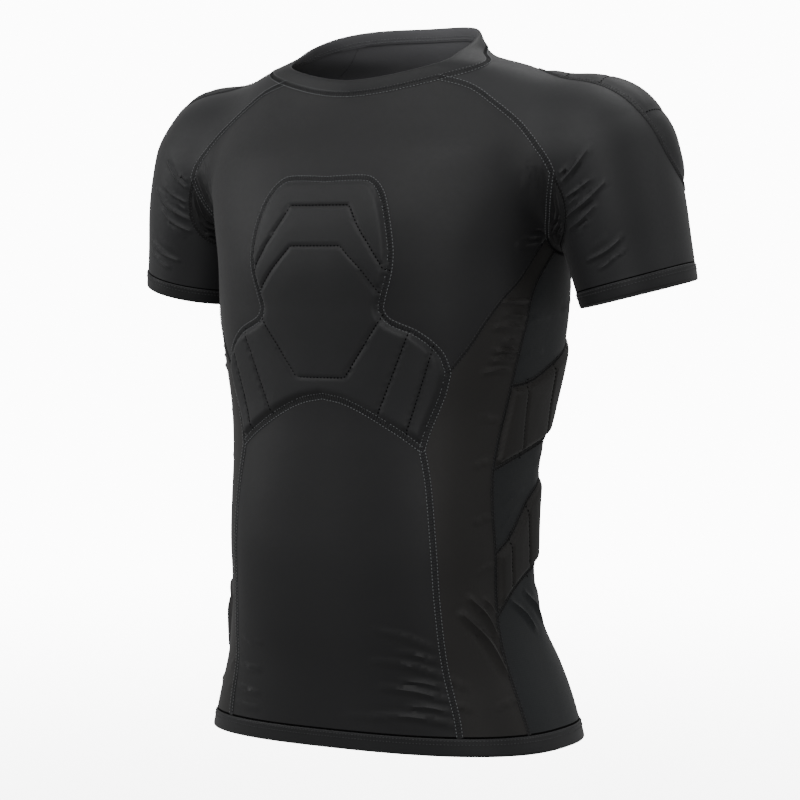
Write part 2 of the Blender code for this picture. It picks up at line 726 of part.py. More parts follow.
def ease(t):
    t = np.clip(t, 0, 1)
    return t * t * (3 - 2 * t)


def band(name, rows, thickness):
    """A closed band of doubled cloth from rings of outer points, lowest ring first."""
    rows = [np.asarray(r) for r in rows]
    outer = np.vstack(rows)
    inner = outer - normal(outer) * thickness
    n, m = len(rows[0]), len(rows)
    quads = []
    for k in range(m - 1):
        for i in range(n):
            j = (i + 1) % n
            quads.append((k * n + i, k * n + j, (k + 1) * n + j, (k + 1) * n + i))
    tris = [t for a, b, c, d in quads for t in ((a, b, c), (a, c, d))]
    back = n * m
    tris += [(c + back, b + back, a + back) for a, b, c in tris]
    last = (m - 1) * n
    for i in range(n):
        j = (i + 1) % n
        tris += [(j, i, i + back), (j, i + back, j + back)]
        tris += [(last + i, last + j, last + j + back), (last + i, last + j + back,
                                                        last + i + back)]
    return name, np.vstack([outer, inner]), tris


def joined(*lines):
    """Lines end to end as one loop, without the repeated points."""
    parts = [line[:-1] for line in lines]
    return np.vstack(parts)


def whole(half):
    """A loop across the centre line from its +X half."""
    half = np.vstack([half])
    half[0, 0] = half[-1, 0] = 0.0
    return np.vstack([half, mirrored(half[-2:0:-1])])


class Gusset:
    """Flat coordinates along and across the underarm gusset."""

    def __init__(self, seams):
        self.trunk = np.vstack([p[:-1] for p in seams.gusset[:3]] + [seams.gusset[3]])
        sleeve = np.vstack([seams.gusset_sleeve[0][:-1], seams.gusset_sleeve[1]])
        self.sleeve = sleeve
        self.length = float(lengths(self.trunk)[-1])
        self.a = lengths(self.trunk) / self.length
        self.b = lengths(sleeve) / lengths(sleeve)[-1]
        t = np.linspace(0, 1, 41)
        low, high = self.read(self.trunk, self.a, t), self.read(sleeve, self.b, t)
        crest = (low + high) / 2
        x = np.linspace(-0.02, 0.03, 51)
        for k in range(len(t)):
            y = crest[k, 1]
            weight = float(ease((0.062 - abs(y - 0.018)) / 0.022))
            if weight <= 0:
                continue
            start = np.stack([0.186 + x, y + 0 * x, -0.135 + 0 * x], -1)
            ends = leave(start, np.array([0.0, 0.0, -1.0]), 0.0)
            best = ends[np.argmax(ends[:, 2])]
            crest[k] += (best - crest[k]) * weight
        self.t, self.crest = t, settle(crest)

    @staticmethod
    def read(line, at, t):
        return np.stack([np.interp(t, at, line[:, k]) for k in range(3)], -1)

    def width(self, t):
        return 0.002 + 0.046 * np.sin(math.pi * np.clip(t, 0, 1)) ** 0.8

    def loop(self):
        low = np.stack([self.a * self.length, -self.width(self.a) / 2], -1)
        high = np.stack([self.b * self.length, self.width(self.b) / 2], -1)
        flat = np.vstack([low[:-1], high[:0:-1]])
        return np.vstack([self.trunk[:-1], self.sleeve[:0:-1]]), flat

    def lift(self, uv):
        t = uv[:, 0] / self.length
        v = np.clip(uv[:, 1] / self.width(t) + 0.5, 0, 1)[:, None]
        low = self.read(self.trunk, self.a, t)
        mid = self.read(self.crest, self.t, t)
        high = self.read(self.sleeve, self.b, t)
        p = np.where(v < 0.5, low + (mid - low) * v * 2, mid + (high - mid) * (v * 2 - 1))
        return settle(p)


def folds_of(name, place):
    """A piece's creases as flat lines; place turns a pair of their numbers into a point."""
    rows = []
    for start, end, half, tall in CREASES.get(name, ()):
        ends = np.array([place(*start), place(*end)])
        rows.append((spread(ends, 6), half * 0.001, tall * 0.001))
    return rows


def panels(spacing=SPACING, step=SEAM_STEP, rise=PAD_RISE, thickness=CLOTH):
    """Every cut piece of the shirt that is a panel."""
    s = Seams(step)
    front, rear, side, limb = Face(-1, 0.12, 0.40), Face(1, 0.10, 0.45), Around(), Limb()
    more = dict(spacing=spacing, thickness=thickness)
    made = []
    gusset = s.gusset
    half = joined(s.neck_front, s.armhole_front, gusset[0], s.chest_side[::-1], s.pad_top[::-1])
    half = np.vstack([half, s.pad_top[:1]])
    made.append(Panel("chest", whole(half), front, **more))
    half = np.vstack([joined(s.pad_top, s.pad_side, s.pad_arch), s.pad_arch[-1:]])
    quilt = [front.flat(np.array([face_point(*row, -1) for row in line]))
             for line in CHEST_QUILT]
    made.append(Panel("chest_pad", whole(half), front, quilt=quilt, rise=rise, **more))
    half = np.vstack([joined(s.pad_arch[::-1], s.princess, s.hem[0][::-1]), s.hem[0][:1]])
    folds = folds_of("abdomen", lambda x, z: front.flat(face_point(x, z, -1)[None])[0])
    made.append(Panel("abdomen", whole(half), front, folds=folds, **more))
    half = np.vstack([joined(s.neck_back[::-1], s.armhole_back, gusset[3][::-1], *s.rear,
                             s.hem[3]), s.hem[3][-1:]])
    made.append(Panel("back", whole(half), rear, **more))
    pairs = []
    loop = joined(s.chest_side, gusset[1], *s.side, s.hem[1][::-1], s.princess[::-1],
                  s.pad_side[::-1])

    def place(angle, z):
        return np.array([math.radians(angle) * side.radius, z * 0.001])

    pairs.append(Panel("side_front", loop, side, folds=folds_of("side_front", place), **more))
    names = ("flank_upper", "rib_pad", "flank_mid", "kidney_pad", "flank_lower")
    tops = [gusset[2]] + s.cross
    feet = [c[::-1] for c in s.cross] + [s.hem[2][::-1]]
    for k, name in enumerate(names):
        loop = joined(tops[k], s.rear[k], feet[k], s.side[k][::-1])
        stitched = {"rib_pad": RIB_QUILT, "kidney_pad": WAIST_QUILT}.get(name, ())
        quilt = [side.flat(np.array([girth_point(*row) for row in line])) for line in stitched]
        pairs.append(Panel(name, loop, side, quilt=quilt, rise=rise if quilt else 0.0,
                           folds=folds_of(name, place), **more))
    turn = math.radians(180) * limb.radius
    top = limb.flat(s.gusset_sleeve[1][:1])[0, 1]
    end = limb_end(limb)
    down = np.linspace(top, end, max(3, int(round((end - top) / step)) + 1))
    start_u = limb.flat(s.gusset_sleeve[1][:1])[0, 0]
    start_u = start_u if start_u < 0 else start_u - 2 * turn
    lean = np.interp(down, [top, end], [start_u, -turn])
    underarm2 = np.stack([lean, down], -1)
    underarm = limb.lift(underarm2)
    underarm[0] = s.gusset_sleeve[1][0]
    around = np.radians(cuff_turn(step)) * limb.radius
    cuff2 = np.stack([around, end - cuff_lift(around / limb.radius)], -1)
    cuff = limb.lift(cuff2)
    cuff[0] = cuff[-1] = underarm[-1]
    pieces = (s.neck_side, s.armhole_back, s.gusset_sleeve[1][::-1], underarm, cuff,
              underarm[::-1], s.gusset_sleeve[0][::-1], s.armhole_front[::-1])
    loop = joined(*pieces)
    flat = limb.flat_line(loop)
    outline2 = through(np.array(SHOULDER_PAD + SHOULDER_PAD[:1], float), 8)[:-1]
    outline2 = outline2 * (math.radians(1) * limb.radius, 0.001)
    outline2 = spread(closed(outline2), int(round(lengths(outline2)[-1] / (step * 0.9))))[:-1]
    outline = limb.lift(outline2)
    folds = folds_of("sleeve", lambda angle, along: np.array(
        [math.radians(angle) * limb.radius, along * 0.001]))
    pairs.append(Panel("sleeve", loop, limb, flat=flat, holes=[(outline, outline2)],
                       folds=folds, **more))
    quilt = [np.array(line, float) * (math.radians(1) * limb.radius, 0.001)
             for line in SHOULDER_QUILT]
    pairs.append(Panel("shoulder_pad", outline, limb, flat=outline2, quilt=quilt,
                       rise=SHOULDER_RISE, share=SHOULDER_SHARE, **more))
    under = Gusset(s)
    loop, flat = under.loop()
    pairs.append(Panel("gusset", loop, under, flat=flat, thickness=thickness,
                       spacing=min(spacing, 0.013)))
    for panel in pairs:
        made.append(panel.other_side("right_" + panel.name))
        panel.name = "left_" + panel.name
        made.append(panel)
    return made


def cuff_lift(angle):
    """How far the cuff sits above the sleeve's full length, at an angle round the arm."""
    return CUFF_TILT * (1 + np.cos(angle)) / 2


def limb_end(limb):
    """Distance along the sleeve's line to the cuff seam."""
    return float(limb.at[-1]) - 0.0645 - CUFF_BAND


def bands(step=SEAM_STEP):
    """Neck band, hem band and cuffs, with points over those of the seams."""
    made = []
    seams, gap = Seams(step), SEAM_GAP
    angles = full_turn(seams.neck_turn)
    rows = [neck_ring(angles, gap + (NECK_BAND - gap) * t) for t in (0, 0.5, 1)]
    made.append(band("neck_band", rows, BAND))
    angles = full_turn(seams.hem_turn)
    rows = [level_ring(angles, z) for z in (HEM_END, HEM_SEAM - gap)]
    made.append(band("hem_band", rows, BAND))
    limb = Limb()
    end = limb_end(limb)
    turn = np.radians(cuff_turn(step)[:-1]) * limb.radius
    high = end - cuff_lift(turn / limb.radius)
    rows = [limb.lift(np.stack([turn, high + gap + (CUFF_BAND - gap) * t], -1))
            for t in (0, 1)]
    name, points, tris = band("left_cuff", rows, BAND)
    made.append((name, points, tris))
    made.append(("right_cuff", mirrored(points), [t[::-1] for t in tris]))
    return made


COLOURS = {
    "chest": (0.035, 0.035, 0.037), "abdomen": (0.035, 0.035, 0.037),
    "back": (0.035, 0.035, 0.037), "sleeve": (0.038, 0.038, 0.040),
    "pad": (0.030, 0.030, 0.031), "side_front": (0.030, 0.028, 0.027),
    "flank": (0.032, 0.036, 0.038), "band": (0.033, 0.033, 0.035),
    "cuff": (0.033, 0.033, 0.035), "gusset": (0.028, 0.028, 0.029),
}


def volume(points, tris):
    p = points[np.array(tris)]
    return float((p[:, 0] * np.cross(p[:, 1], p[:, 2])).sum() / 6)


def add(collection, name, points, tris):
    if volume(points, tris) < 0:
        tris = [t[::-1] for t in tris]
    mesh = bpy.data.meshes.new(name)
    mesh.from_pydata([tuple(p) for p in points.tolist()], [], [tuple(map(int, t)) for t in tris])
    mesh.update()
    item = bpy.data.objects.new(name, mesh)
    collection.objects.link(item)
    kind = next((k for k in ("pad", "side_front", "flank", "gusset", "cuff", "band", "sleeve")
                 if k in name), name)
    material = bpy.data.materials.new(name)
    material.use_nodes = True
    shade = material.node_tree.nodes["Principled BSDF"]
    shade.inputs["Base Color"].default_value = COLOURS[kind] + (1.0,)
    shade.inputs["Roughness"].default_value = 0.5
    mesh.materials.append(material)
    return item


def main():
    for item in list(bpy.data.objects):
        bpy.data.objects.remove(item)
    collection = bpy.data.collections.new("compression_shirt")
    bpy.context.scene.collection.children.link(collection)
    for panel in panels():
        add(collection, panel.name, *panel.solid())
    for name, points, tris in bands():
        add(collection, name, points, tris)


main()
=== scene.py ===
"""Looks of the padded compression shirt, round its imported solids.

The cloth is built again here on the same general figure and seams as the solids, as fine
thin shells with their creases, foam and quilting. The seams get their raised tape and
their threads. Everything is in metres in the part's own frame.
"""
import math

import bpy
import numpy as np
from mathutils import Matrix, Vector
from mathutils.geometry import delaunay_2d_cdt


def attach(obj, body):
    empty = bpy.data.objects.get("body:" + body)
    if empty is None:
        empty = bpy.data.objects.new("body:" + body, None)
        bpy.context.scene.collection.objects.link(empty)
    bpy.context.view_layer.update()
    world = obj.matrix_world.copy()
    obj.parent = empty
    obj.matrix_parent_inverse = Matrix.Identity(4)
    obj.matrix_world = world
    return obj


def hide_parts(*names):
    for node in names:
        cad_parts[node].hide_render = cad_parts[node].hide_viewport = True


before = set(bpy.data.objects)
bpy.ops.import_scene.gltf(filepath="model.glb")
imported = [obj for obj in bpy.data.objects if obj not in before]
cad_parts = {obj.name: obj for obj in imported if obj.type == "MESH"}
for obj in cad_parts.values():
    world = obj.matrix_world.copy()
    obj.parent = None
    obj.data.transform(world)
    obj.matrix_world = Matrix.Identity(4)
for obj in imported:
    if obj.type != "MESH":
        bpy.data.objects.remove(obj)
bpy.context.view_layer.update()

# Driving dimensions, in metres
CLOTH = 0.0014          # thickness of the shirt cloth as built
SEAM_GAP = 0.0003       # space between two pieces that are sewn together
PAD_RISE = 0.0050       # how far a foam pad stands above the cloth
SHOULDER_RISE = 0.0045  # the same for the thinner pads on the shoulders
STITCH_SHARE = 0.70     # height of the cloth at a quilting line, as a share of the pad's
SHOULDER_SHARE = 0.80   # the same on the shoulders, where the quilting is shallow
NECK_HEIGHT = 0.0015    # height of the neckline at its sides
NECK_SLOPE = 0.39       # its rise for one towards the back
NECK_DIP = 0.0085       # how far it hangs below that slope at the front and the back
NECK_BAND = 0.0125      # height of the neck band
HEM_SEAM = -0.656       # upper edge of the turned hem
HEM_END = -0.674        # lower edge of the shirt
CUFF_BAND = 0.016       # height of the turned sleeve hem
CUFF_TILT = 0.005       # how much shorter the sleeve is on its outer side

# The trunk's sections: height, half width, depth to the front and to the back,
# all in millimetres, and the squareness of the front and of the back
TRUNK_COLUMNS = ("z", "half_width", "front", "back", "front_square", "back_square")
TRUNK = (
    (-730, 205, 116, 141, 2.60, 2.40),
    (-690, 197, 120, 139, 2.60, 2.40),
    (-660, 189, 122, 136, 2.60, 2.40),
    (-630, 180, 125, 131, 2.60, 2.40),
    (-600, 170, 129, 118, 2.60, 2.40),
    (-560, 158, 136, 88, 2.80, 2.30),
    (-520, 152, 140, 68, 2.95, 2.25),
    (-480, 152, 142, 61, 3.00, 2.25),
    (-440, 153, 141, 65, 2.90, 2.25),
    (-390, 156, 138, 82, 2.70, 2.30),
    (-350, 160, 136, 101, 2.60, 2.50),
    (-300, 168, 138, 118, 2.60, 2.60),
    (-250, 173, 143, 128, 2.60, 2.60),
    (-200, 175, 147, 131, 2.55, 2.60),
    (-165, 183, 142, 131, 2.50, 2.50),
    (-130, 192, 130, 128, 2.45, 2.45),
    (-100, 195, 117, 122, 2.40, 2.40),
    (-70, 197, 101, 109, 2.00, 2.10),
    (-45, 194, 91, 98, 1.65, 2.00),
    (-28, 178, 86, 92, 1.55, 2.00),
    (-14, 148, 83, 86, 1.65, 2.00),
    (-2, 107, 80, 79, 1.85, 2.00),
    (10, 94, 78, 73, 2.00, 2.00),
    (24, 87, 76, 69, 2.00, 2.00),
    (60, 82, 72, 64, 2.00, 2.00),
)
# The arm's sections: distance below the shoulder joint, radius across, radius fore and aft
ARM_COLUMNS = ("along", "across", "fore_aft")
ARM = (
    (-30, 60, 68),
    (0, 62, 73),
    (50, 62, 75),
    (100, 58, 70),
    (150, 54, 66),
    (210, 50, 62),
)
SHOULDER_JOINT = (0.226, 0.018, -0.101)
ARM_CAP = 0.070                     # height of the rounded shoulder over the joint
ARM_LEAN = (0.213, 0.090, -1.0)      # direction of the arm on the +X side
BLEND_TOP = 0.050                   # rounding between trunk and arm over the shoulder
BLEND_PIT = 0.012                   # the same in the armpit
BLEND_HEIGHTS = (-0.200, -0.110)    # the rounding grows between these heights

# Sizes that only the looks need, in metres
FINE = 0.0036           # between the points of a plain panel and along a seam
FINE_FOAM = 0.0025      # the same on a quilted pad, a sleeve and the gussets
FOAM_START = 0.0030     # from a pad's seam to the foot of its foam
FOAM_ROUND = 0.0056     # width of the foam's rounded edge
SHOULDER_ROUND = 0.022  # the same on the shoulders, where the foam is cut thin at its edge
QUILT_ROUND = 0.0029    # the same on each side of a quilting line
FOAM_CURVE = 2.5        # how steeply the foam leaves its foot
CROWN = 0.0005          # how far the middle of a quilted cell swells
CROWN_WIDE = 0.026      # how far from the stitches it reaches its height
SEAM_CALM = 0.0045      # how far from a seam the creases reach their height
TAPE = 0.0062           # width of the flat seams' thread tape
DARK_SEAM = 0.0034      # the same where near-black tape and thread paint the shade along the seam
TAPE_RISE = 0.00028     # height of the tape over the cloth
RUNG_PITCH = 0.0026     # between the cross threads of a flat seam
NEEDLE_PITCH = 0.0034   # between the stitches of its two needle rows
QUILT_PITCH = 0.0038    # between the stitches that quilt a pad
THREAD = 0.00034        # half thickness of a thread
HEM_SHADOW_LINE = 0.0026     # width of the painted shadow over the hem, a near-black strip where the seam's shade falls
CUFF_SHADOW_LINE = 0.0014    # the same over the cuffs
SHADOW_LINE_RISE = 0.0002    # height of both lines over the figure
GUSSET_FINER, PAD_FINER = 0.55, 0.8     # steps along their seams, as shares of the usual
STEP = 0.0002           # in measuring how the figure's field slopes
FAR = 9.0               # a distance beyond any on the shirt
LATTICE = 0.866         # height of a triangle with even sides, as a share of a side
HEM_ROWS = (0.0026, 0.0062)     # the hem's stitch rows below its seam
CUFF_ROWS = (0.0024, 0.0056)    # the same on the cuffs
BAND_LIFT = 0.0009      # height of the hem's and the cuffs' stitches over the figure
# The neck band's stitch rows on its inside: how far they rise over the seam, and their depth
NECK_ROWS = ((0.0006, -0.0025), (0.0036, -0.0026))
QUILT_THICK = 0.00055   # half thickness of the quilting thread
SLEEVE_CUT = 0.0645     # from the lower edge of the cuff to the end of the sleeve's line


class Table:
    """Rows of sizes in millimetres, read in between by a smooth curve."""

    def __init__(self, columns, rows, plain=()):
        data = np.array(rows, float)
        self.at = {}
        for k, name in enumerate(columns):
            self.at[name] = data[:, k] * (1.0 if name in plain else 0.001)
        self.key = self.at[columns[0]]
        self.slopes = {name: np.gradient(v, self.key) for name, v in self.at.items()}

    def place(self, x):
        x = np.clip(x, self.key[0], self.key[-1])
        i = np.clip(np.searchsorted(self.key, x) - 1, 0, len(self.key) - 2)
        span = self.key[i + 1] - self.key[i]
        return i, span, (x - self.key[i]) / span

    def read(self, name, place):
        i, span, t = place
        v, m = self.at[name], self.slopes[name]
        t2, t3 = t * t, t * t * t
        return ((2 * t3 - 3 * t2 + 1) * v[i] + (t3 - 2 * t2 + t) * span * m[i]
                + (3 * t2 - 2 * t3) * v[i + 1] + (t3 - t2) * span * m[i + 1])


TRUNK_TABLE = Table(TRUNK_COLUMNS, TRUNK, plain=("front_square", "back_square"))
ARM_TABLE = Table(ARM_COLUMNS, ARM)


def unit(v):
    v = np.asarray(v, float)
    return v / np.maximum(np.linalg.norm(v, axis=-1, keepdims=True), 1e-12)


ARM_ALONG = unit(ARM_LEAN)
ARM_SIDE = unit(np.cross(ARM_ALONG, (0.0, 1.0, 0.0)) * -1.0)
ARM_BACK = np.cross(ARM_SIDE, ARM_ALONG) * -1.0


def trunk_field(p):
    place = TRUNK_TABLE.place(p[..., 2])
    wide = TRUNK_TABLE.read("half_width", place)
    front, back = TRUNK_TABLE.read("front", place), TRUNK_TABLE.read("back", place)
    ahead = p[..., 1] < 0
    deep = np.where(ahead, front, back)
    square = np.where(ahead, TRUNK_TABLE.read("front_square", place),
                      TRUNK_TABLE.read("back_square", place))
    reach = (np.abs(p[..., 0] / wide) ** square
             + np.abs(p[..., 1] / deep) ** square + 1e-12) ** (1 / square)
    return (reach - 1) * np.sqrt(wide * (front + back) / 2)


def arm_field(p):
    q = p - np.array(SHOULDER_JOINT)
    along = q @ ARM_ALONG
    place = ARM_TABLE.place(along)
    across, deep = ARM_TABLE.read("across", place), ARM_TABLE.read("fore_aft", place)
    above = np.clip(-along, 0, None)
    reach = np.sqrt((q @ ARM_SIDE / across) ** 2 + (q @ ARM_BACK / deep) ** 2
                    + (above / ARM_CAP) ** 2)
    return (reach - 1) * np.sqrt(across * deep)


def field(p):
    """Negative inside the figure, zero on it."""
    p = np.asarray(p, float)
    arm = arm_field(p * np.where(p[..., :1] < 0, (-1.0, 1.0, 1.0), 1.0))
    low, high = BLEND_HEIGHTS
    t = np.clip((p[..., 2] - low) / (high - low), 0, 1)
    blend = BLEND_PIT + (BLEND_TOP - BLEND_PIT) * t * t * (3 - 2 * t)
    trunk = trunk_field(p)
    share = np.clip(0.5 + 0.5 * (arm - trunk) / blend, 0, 1)
    return arm + (trunk - arm) * share - blend * share * (1 - share)


def slope(p):
    """How the field grows along x, y and z."""
    return np.stack([(field(p + d) - field(p - d)) / (2 * STEP) for d in np.eye(3) * STEP], -1)


def normal(p):
    """Outward direction of the figure's surface."""
    return unit(slope(p))


def settle(p, rounds=6):
    """Moves points onto the figure along its own slope."""
    p = np.array(p, float)
    for _ in range(rounds):
        rise = slope(p)
        square = np.maximum((rise ** 2).sum(-1), 1e-6)
        p -= np.clip(field(p) / square, -0.02, 0.02)[..., None] * rise
    return p


def leave(start, toward, first=0.0):
    """Where rays from inside the figure come out of it: first by careful steps of the
    field's own size, then by its slope along the ray."""
    start, toward = np.broadcast_arrays(start, toward)
    t = np.zeros(start.shape[:-1]) + first
    for _ in range(26):
        t -= 0.62 * np.clip(field(start + t[..., None] * toward), -0.03, 0.03)
    step = STEP / 2
    for _ in range(5):
        value = field(start + t[..., None] * toward)
        rise = (field(start + (t + step)[..., None] * toward) - value) / step
        t -= np.clip(value / np.where(np.abs(rise) < 0.05, 0.05, rise), -0.004, 0.004)
    return start + t[..., None] * toward


def lengths(line):
    steps = np.linalg.norm(np.diff(line, axis=0), axis=1)
    return np.concatenate([[0.0], np.cumsum(steps)])


def between(at, marks, rows):
    """Rows read off at values between their marks."""
    return np.stack([np.interp(at, marks, column) for column in rows.T], -1)


def spread(line, count):
    """The same line with evenly spaced points."""
    along = lengths(line)
    return between(np.linspace(0, along[-1], count), along, line)


def stepped(line, step):
    """How many points part a line in even steps of about the given length."""
    return max(2, int(round(lengths(line)[-1] / step)) + 1)


def chain(*lines):
    """Lines end to end, without the repeated points."""
    return np.vstack([line[:-1] for line in lines[:-1]] + [lines[-1]])


def joined(*lines):
    """Lines end to end as one loop, without the repeated points."""
    return chain(*lines)[:-1]


def closed(loop):
    return np.vstack([loop, loop[:1]])


def through(points, fine=12):
    """A smooth curve through points, by Catmull-Rom spans."""
    p = np.array(points, float)
    p = np.vstack([2 * p[0] - p[1], p, 2 * p[-1] - p[-2]])
    t = np.linspace(0, 1, fine, endpoint=False)[:, None]
    spans = []
    for a, b, c, d in zip(p[:-3], p[1:-2], p[2:-1], p[3:]):
        spans.append(0.5 * (2 * b + (c - a) * t + (2 * a - 5 * b + 4 * c - d) * t ** 2
                            + (3 * b - a - 3 * c + d) * t ** 3))
    return np.vstack(spans + [p[-2:-1]])


def mirrored(p):
    return p * np.array([-1.0, 1.0, 1.0])


# Seams of the +X side, in millimetres or degrees. The other side is their mirror image.
# The armhole and gusset seams are rows of (x, y, z), the chest side, side and front princess
# seams of (angle from the front, z), and the back princess seam and the pad of (x, z).
NECK_FRONT_ANGLE = 53.0     # where the front armhole seam meets the neckline
NECK_BACK_ANGLE = 122.0     # the same for the back armhole seam
ARMHOLE_FRONT = ((120, -62, -34), (148, -66, -47), (169, -69, -61), (184, -71, -77),
                 (195, -71, -93), (203, -69, -108), (207, -65, -121))
ARMHOLE_BACK = ((116, 68, -16), (146, 88, -40), (172, 102, -66), (192, 108, -96),
                (203, 102, -128))
GUSSET_TRUNK = ((202, -55, -133), (197, -49, -147), (191, -39, -161), (185, -28, -173),
                (180, -14, -185), (177, 4, -193), (175, 25, -196), (171, 46, -190),
                (169, 60, -177), (174, 71, -161), (188, 82, -145))
# Where the gusset's trunk seam turns from the chest to the side front, the flank and the
# back, and where its sleeve seam meets the underarm seam
GUSSET_CORNERS = ((181, -18, -182), (177, 6, -194), (171, 48, -189))
UNDERARM = (191, 14, -192)
GUSSET_SLEEVE = ((212, -57, -135), (215, -52, -149), (214, -46, -165), (205, -32, -182),
                 (191, 14, -192), (191, 40, -191), (195, 60, -186), (202, 77, -174),
                 (208, 87, -157), (210, 90, -142))
CHEST_SIDE = ((55, -283), (60, -260), (66, -238), (74, -217))
SIDE = ((80, -230), (76.5, -265), (73.5, -300), (71, -340), (68, -375), (66, -405),
        (66, -440), (67.5, -480), (68, -530), (68.5, -560), (70, -590), (72, -620),
        (74, -656))
FRONT_PRINCESS = ((42, -415), (43.4, -473), (45, -530), (47.9, -588), (51.6, -635),
                  (52.6, -656))
BACK_PRINCESS = ((161, -222), (147, -262), (126, -320), (111, -380), (102, -440),
                 (99, -500), (104, -560), (114, -610), (124, -656))
PAD_TOP = ((0, -125), (38, -124), (51, -127), (62, -138), (70, -156), (76, -180),
           (78, -198), (76, -215), (70, -235), (67, -248), (72, -258), (83, -264),
           (97, -270), (110, -280), (119, -292), (123, -308))
PAD_SIDE = ((123, -308), (118, -328), (111, -347), (105, -364), (101, -381))
PAD_ARCH = ((101, -381), (88, -371), (76, -363), (50, -348), (25, -337), (0, -332))
# Heights at which the flank's cross seams leave the side seam and reach the back one,
# with the angles and heights that they pass
RIB_TOP = (-322, ((83, -317), (97, -301), (112, -284)), -272)
RIB_FOOT = (-402, ((77, -392), (92, -381), (108, -370)), -360)
WAIST_TOP = (-482, ((76, -466), (88, -432), (102, -412)), -404)
WAIST_FOOT = (-543, ((77, -522), (88, -506), (103, -492)), -484)


def mm(points):
    return np.array(points, float) * 0.001


def girth_point(angle, height):
    """A point of the trunk at an angle from the front, in degrees, and a height in mm."""
    a = math.radians(angle)
    start = np.array([[0.0, 0.0, height * 0.001]])
    return leave(start, np.array([[math.sin(a), -math.cos(a), 0.0]]), 0.05)[0]


def face_point(x, height, side):
    """A point of the trunk's front (side -1) or back (side 1), x and height in mm."""
    start = np.array([[x * 0.001, 0.0, height * 0.001]])
    return leave(start, np.array([[0.0, float(side), 0.0]]), 0.02)[0]


def neck_ring(angles, rise=0.0):
    """Points where the figure meets the neckline's plane, raised by rise."""
    a = np.radians(angles)
    start = np.zeros((len(a), 3)) + (0, 0, NECK_HEIGHT + rise)
    start[:, 2] -= NECK_DIP * np.cos(a) ** 2
    toward = np.stack([np.sin(a), -np.cos(a), -NECK_SLOPE * np.cos(a)], -1)
    return leave(start, toward, 0.03)


def level_rays(a, z):
    """Points of the trunk at angles from the front, in radians, and a height for each."""
    start = np.stack([0 * a, 0 * a, z + 0 * a], -1)
    return leave(start, np.stack([np.sin(a), -np.cos(a), 0 * a], -1), 0.04)


def level_ring(angles, z):
    return level_rays(np.radians(angles), z)


def cut_at(line, heights):
    """Pieces of a falling line between the given heights."""
    z = line[:, 2]
    marks = [0.0]
    for h in heights:
        k = int(np.argmax(z <= h * 0.001))
        t = (z[k - 1] - h * 0.001) / (z[k - 1] - z[k])
        marks.append(k - 1 + t)
    marks.append(len(line) - 1.0)
    index = np.arange(len(line))
    pieces = []
    for a, b in zip(marks[:-1], marks[1:]):
        at = np.concatenate([[a], index[(index > a + 0.01) & (index < b - 0.01)], [b]])
        pieces.append(between(at, index, line))
    return pieces


def even(line, step):
    """Settled points along a line at even steps, with its own ends kept."""
    points = spread(line, stepped(line, step))
    points[1:-1] = settle(points[1:-1])
    return points


def nearest_split(line, point):
    """Cuts a line in two at its point nearest to the given one."""
    k = int(np.argmin(np.linalg.norm(line - point, axis=1)))
    return line[:k + 1], line[k:]


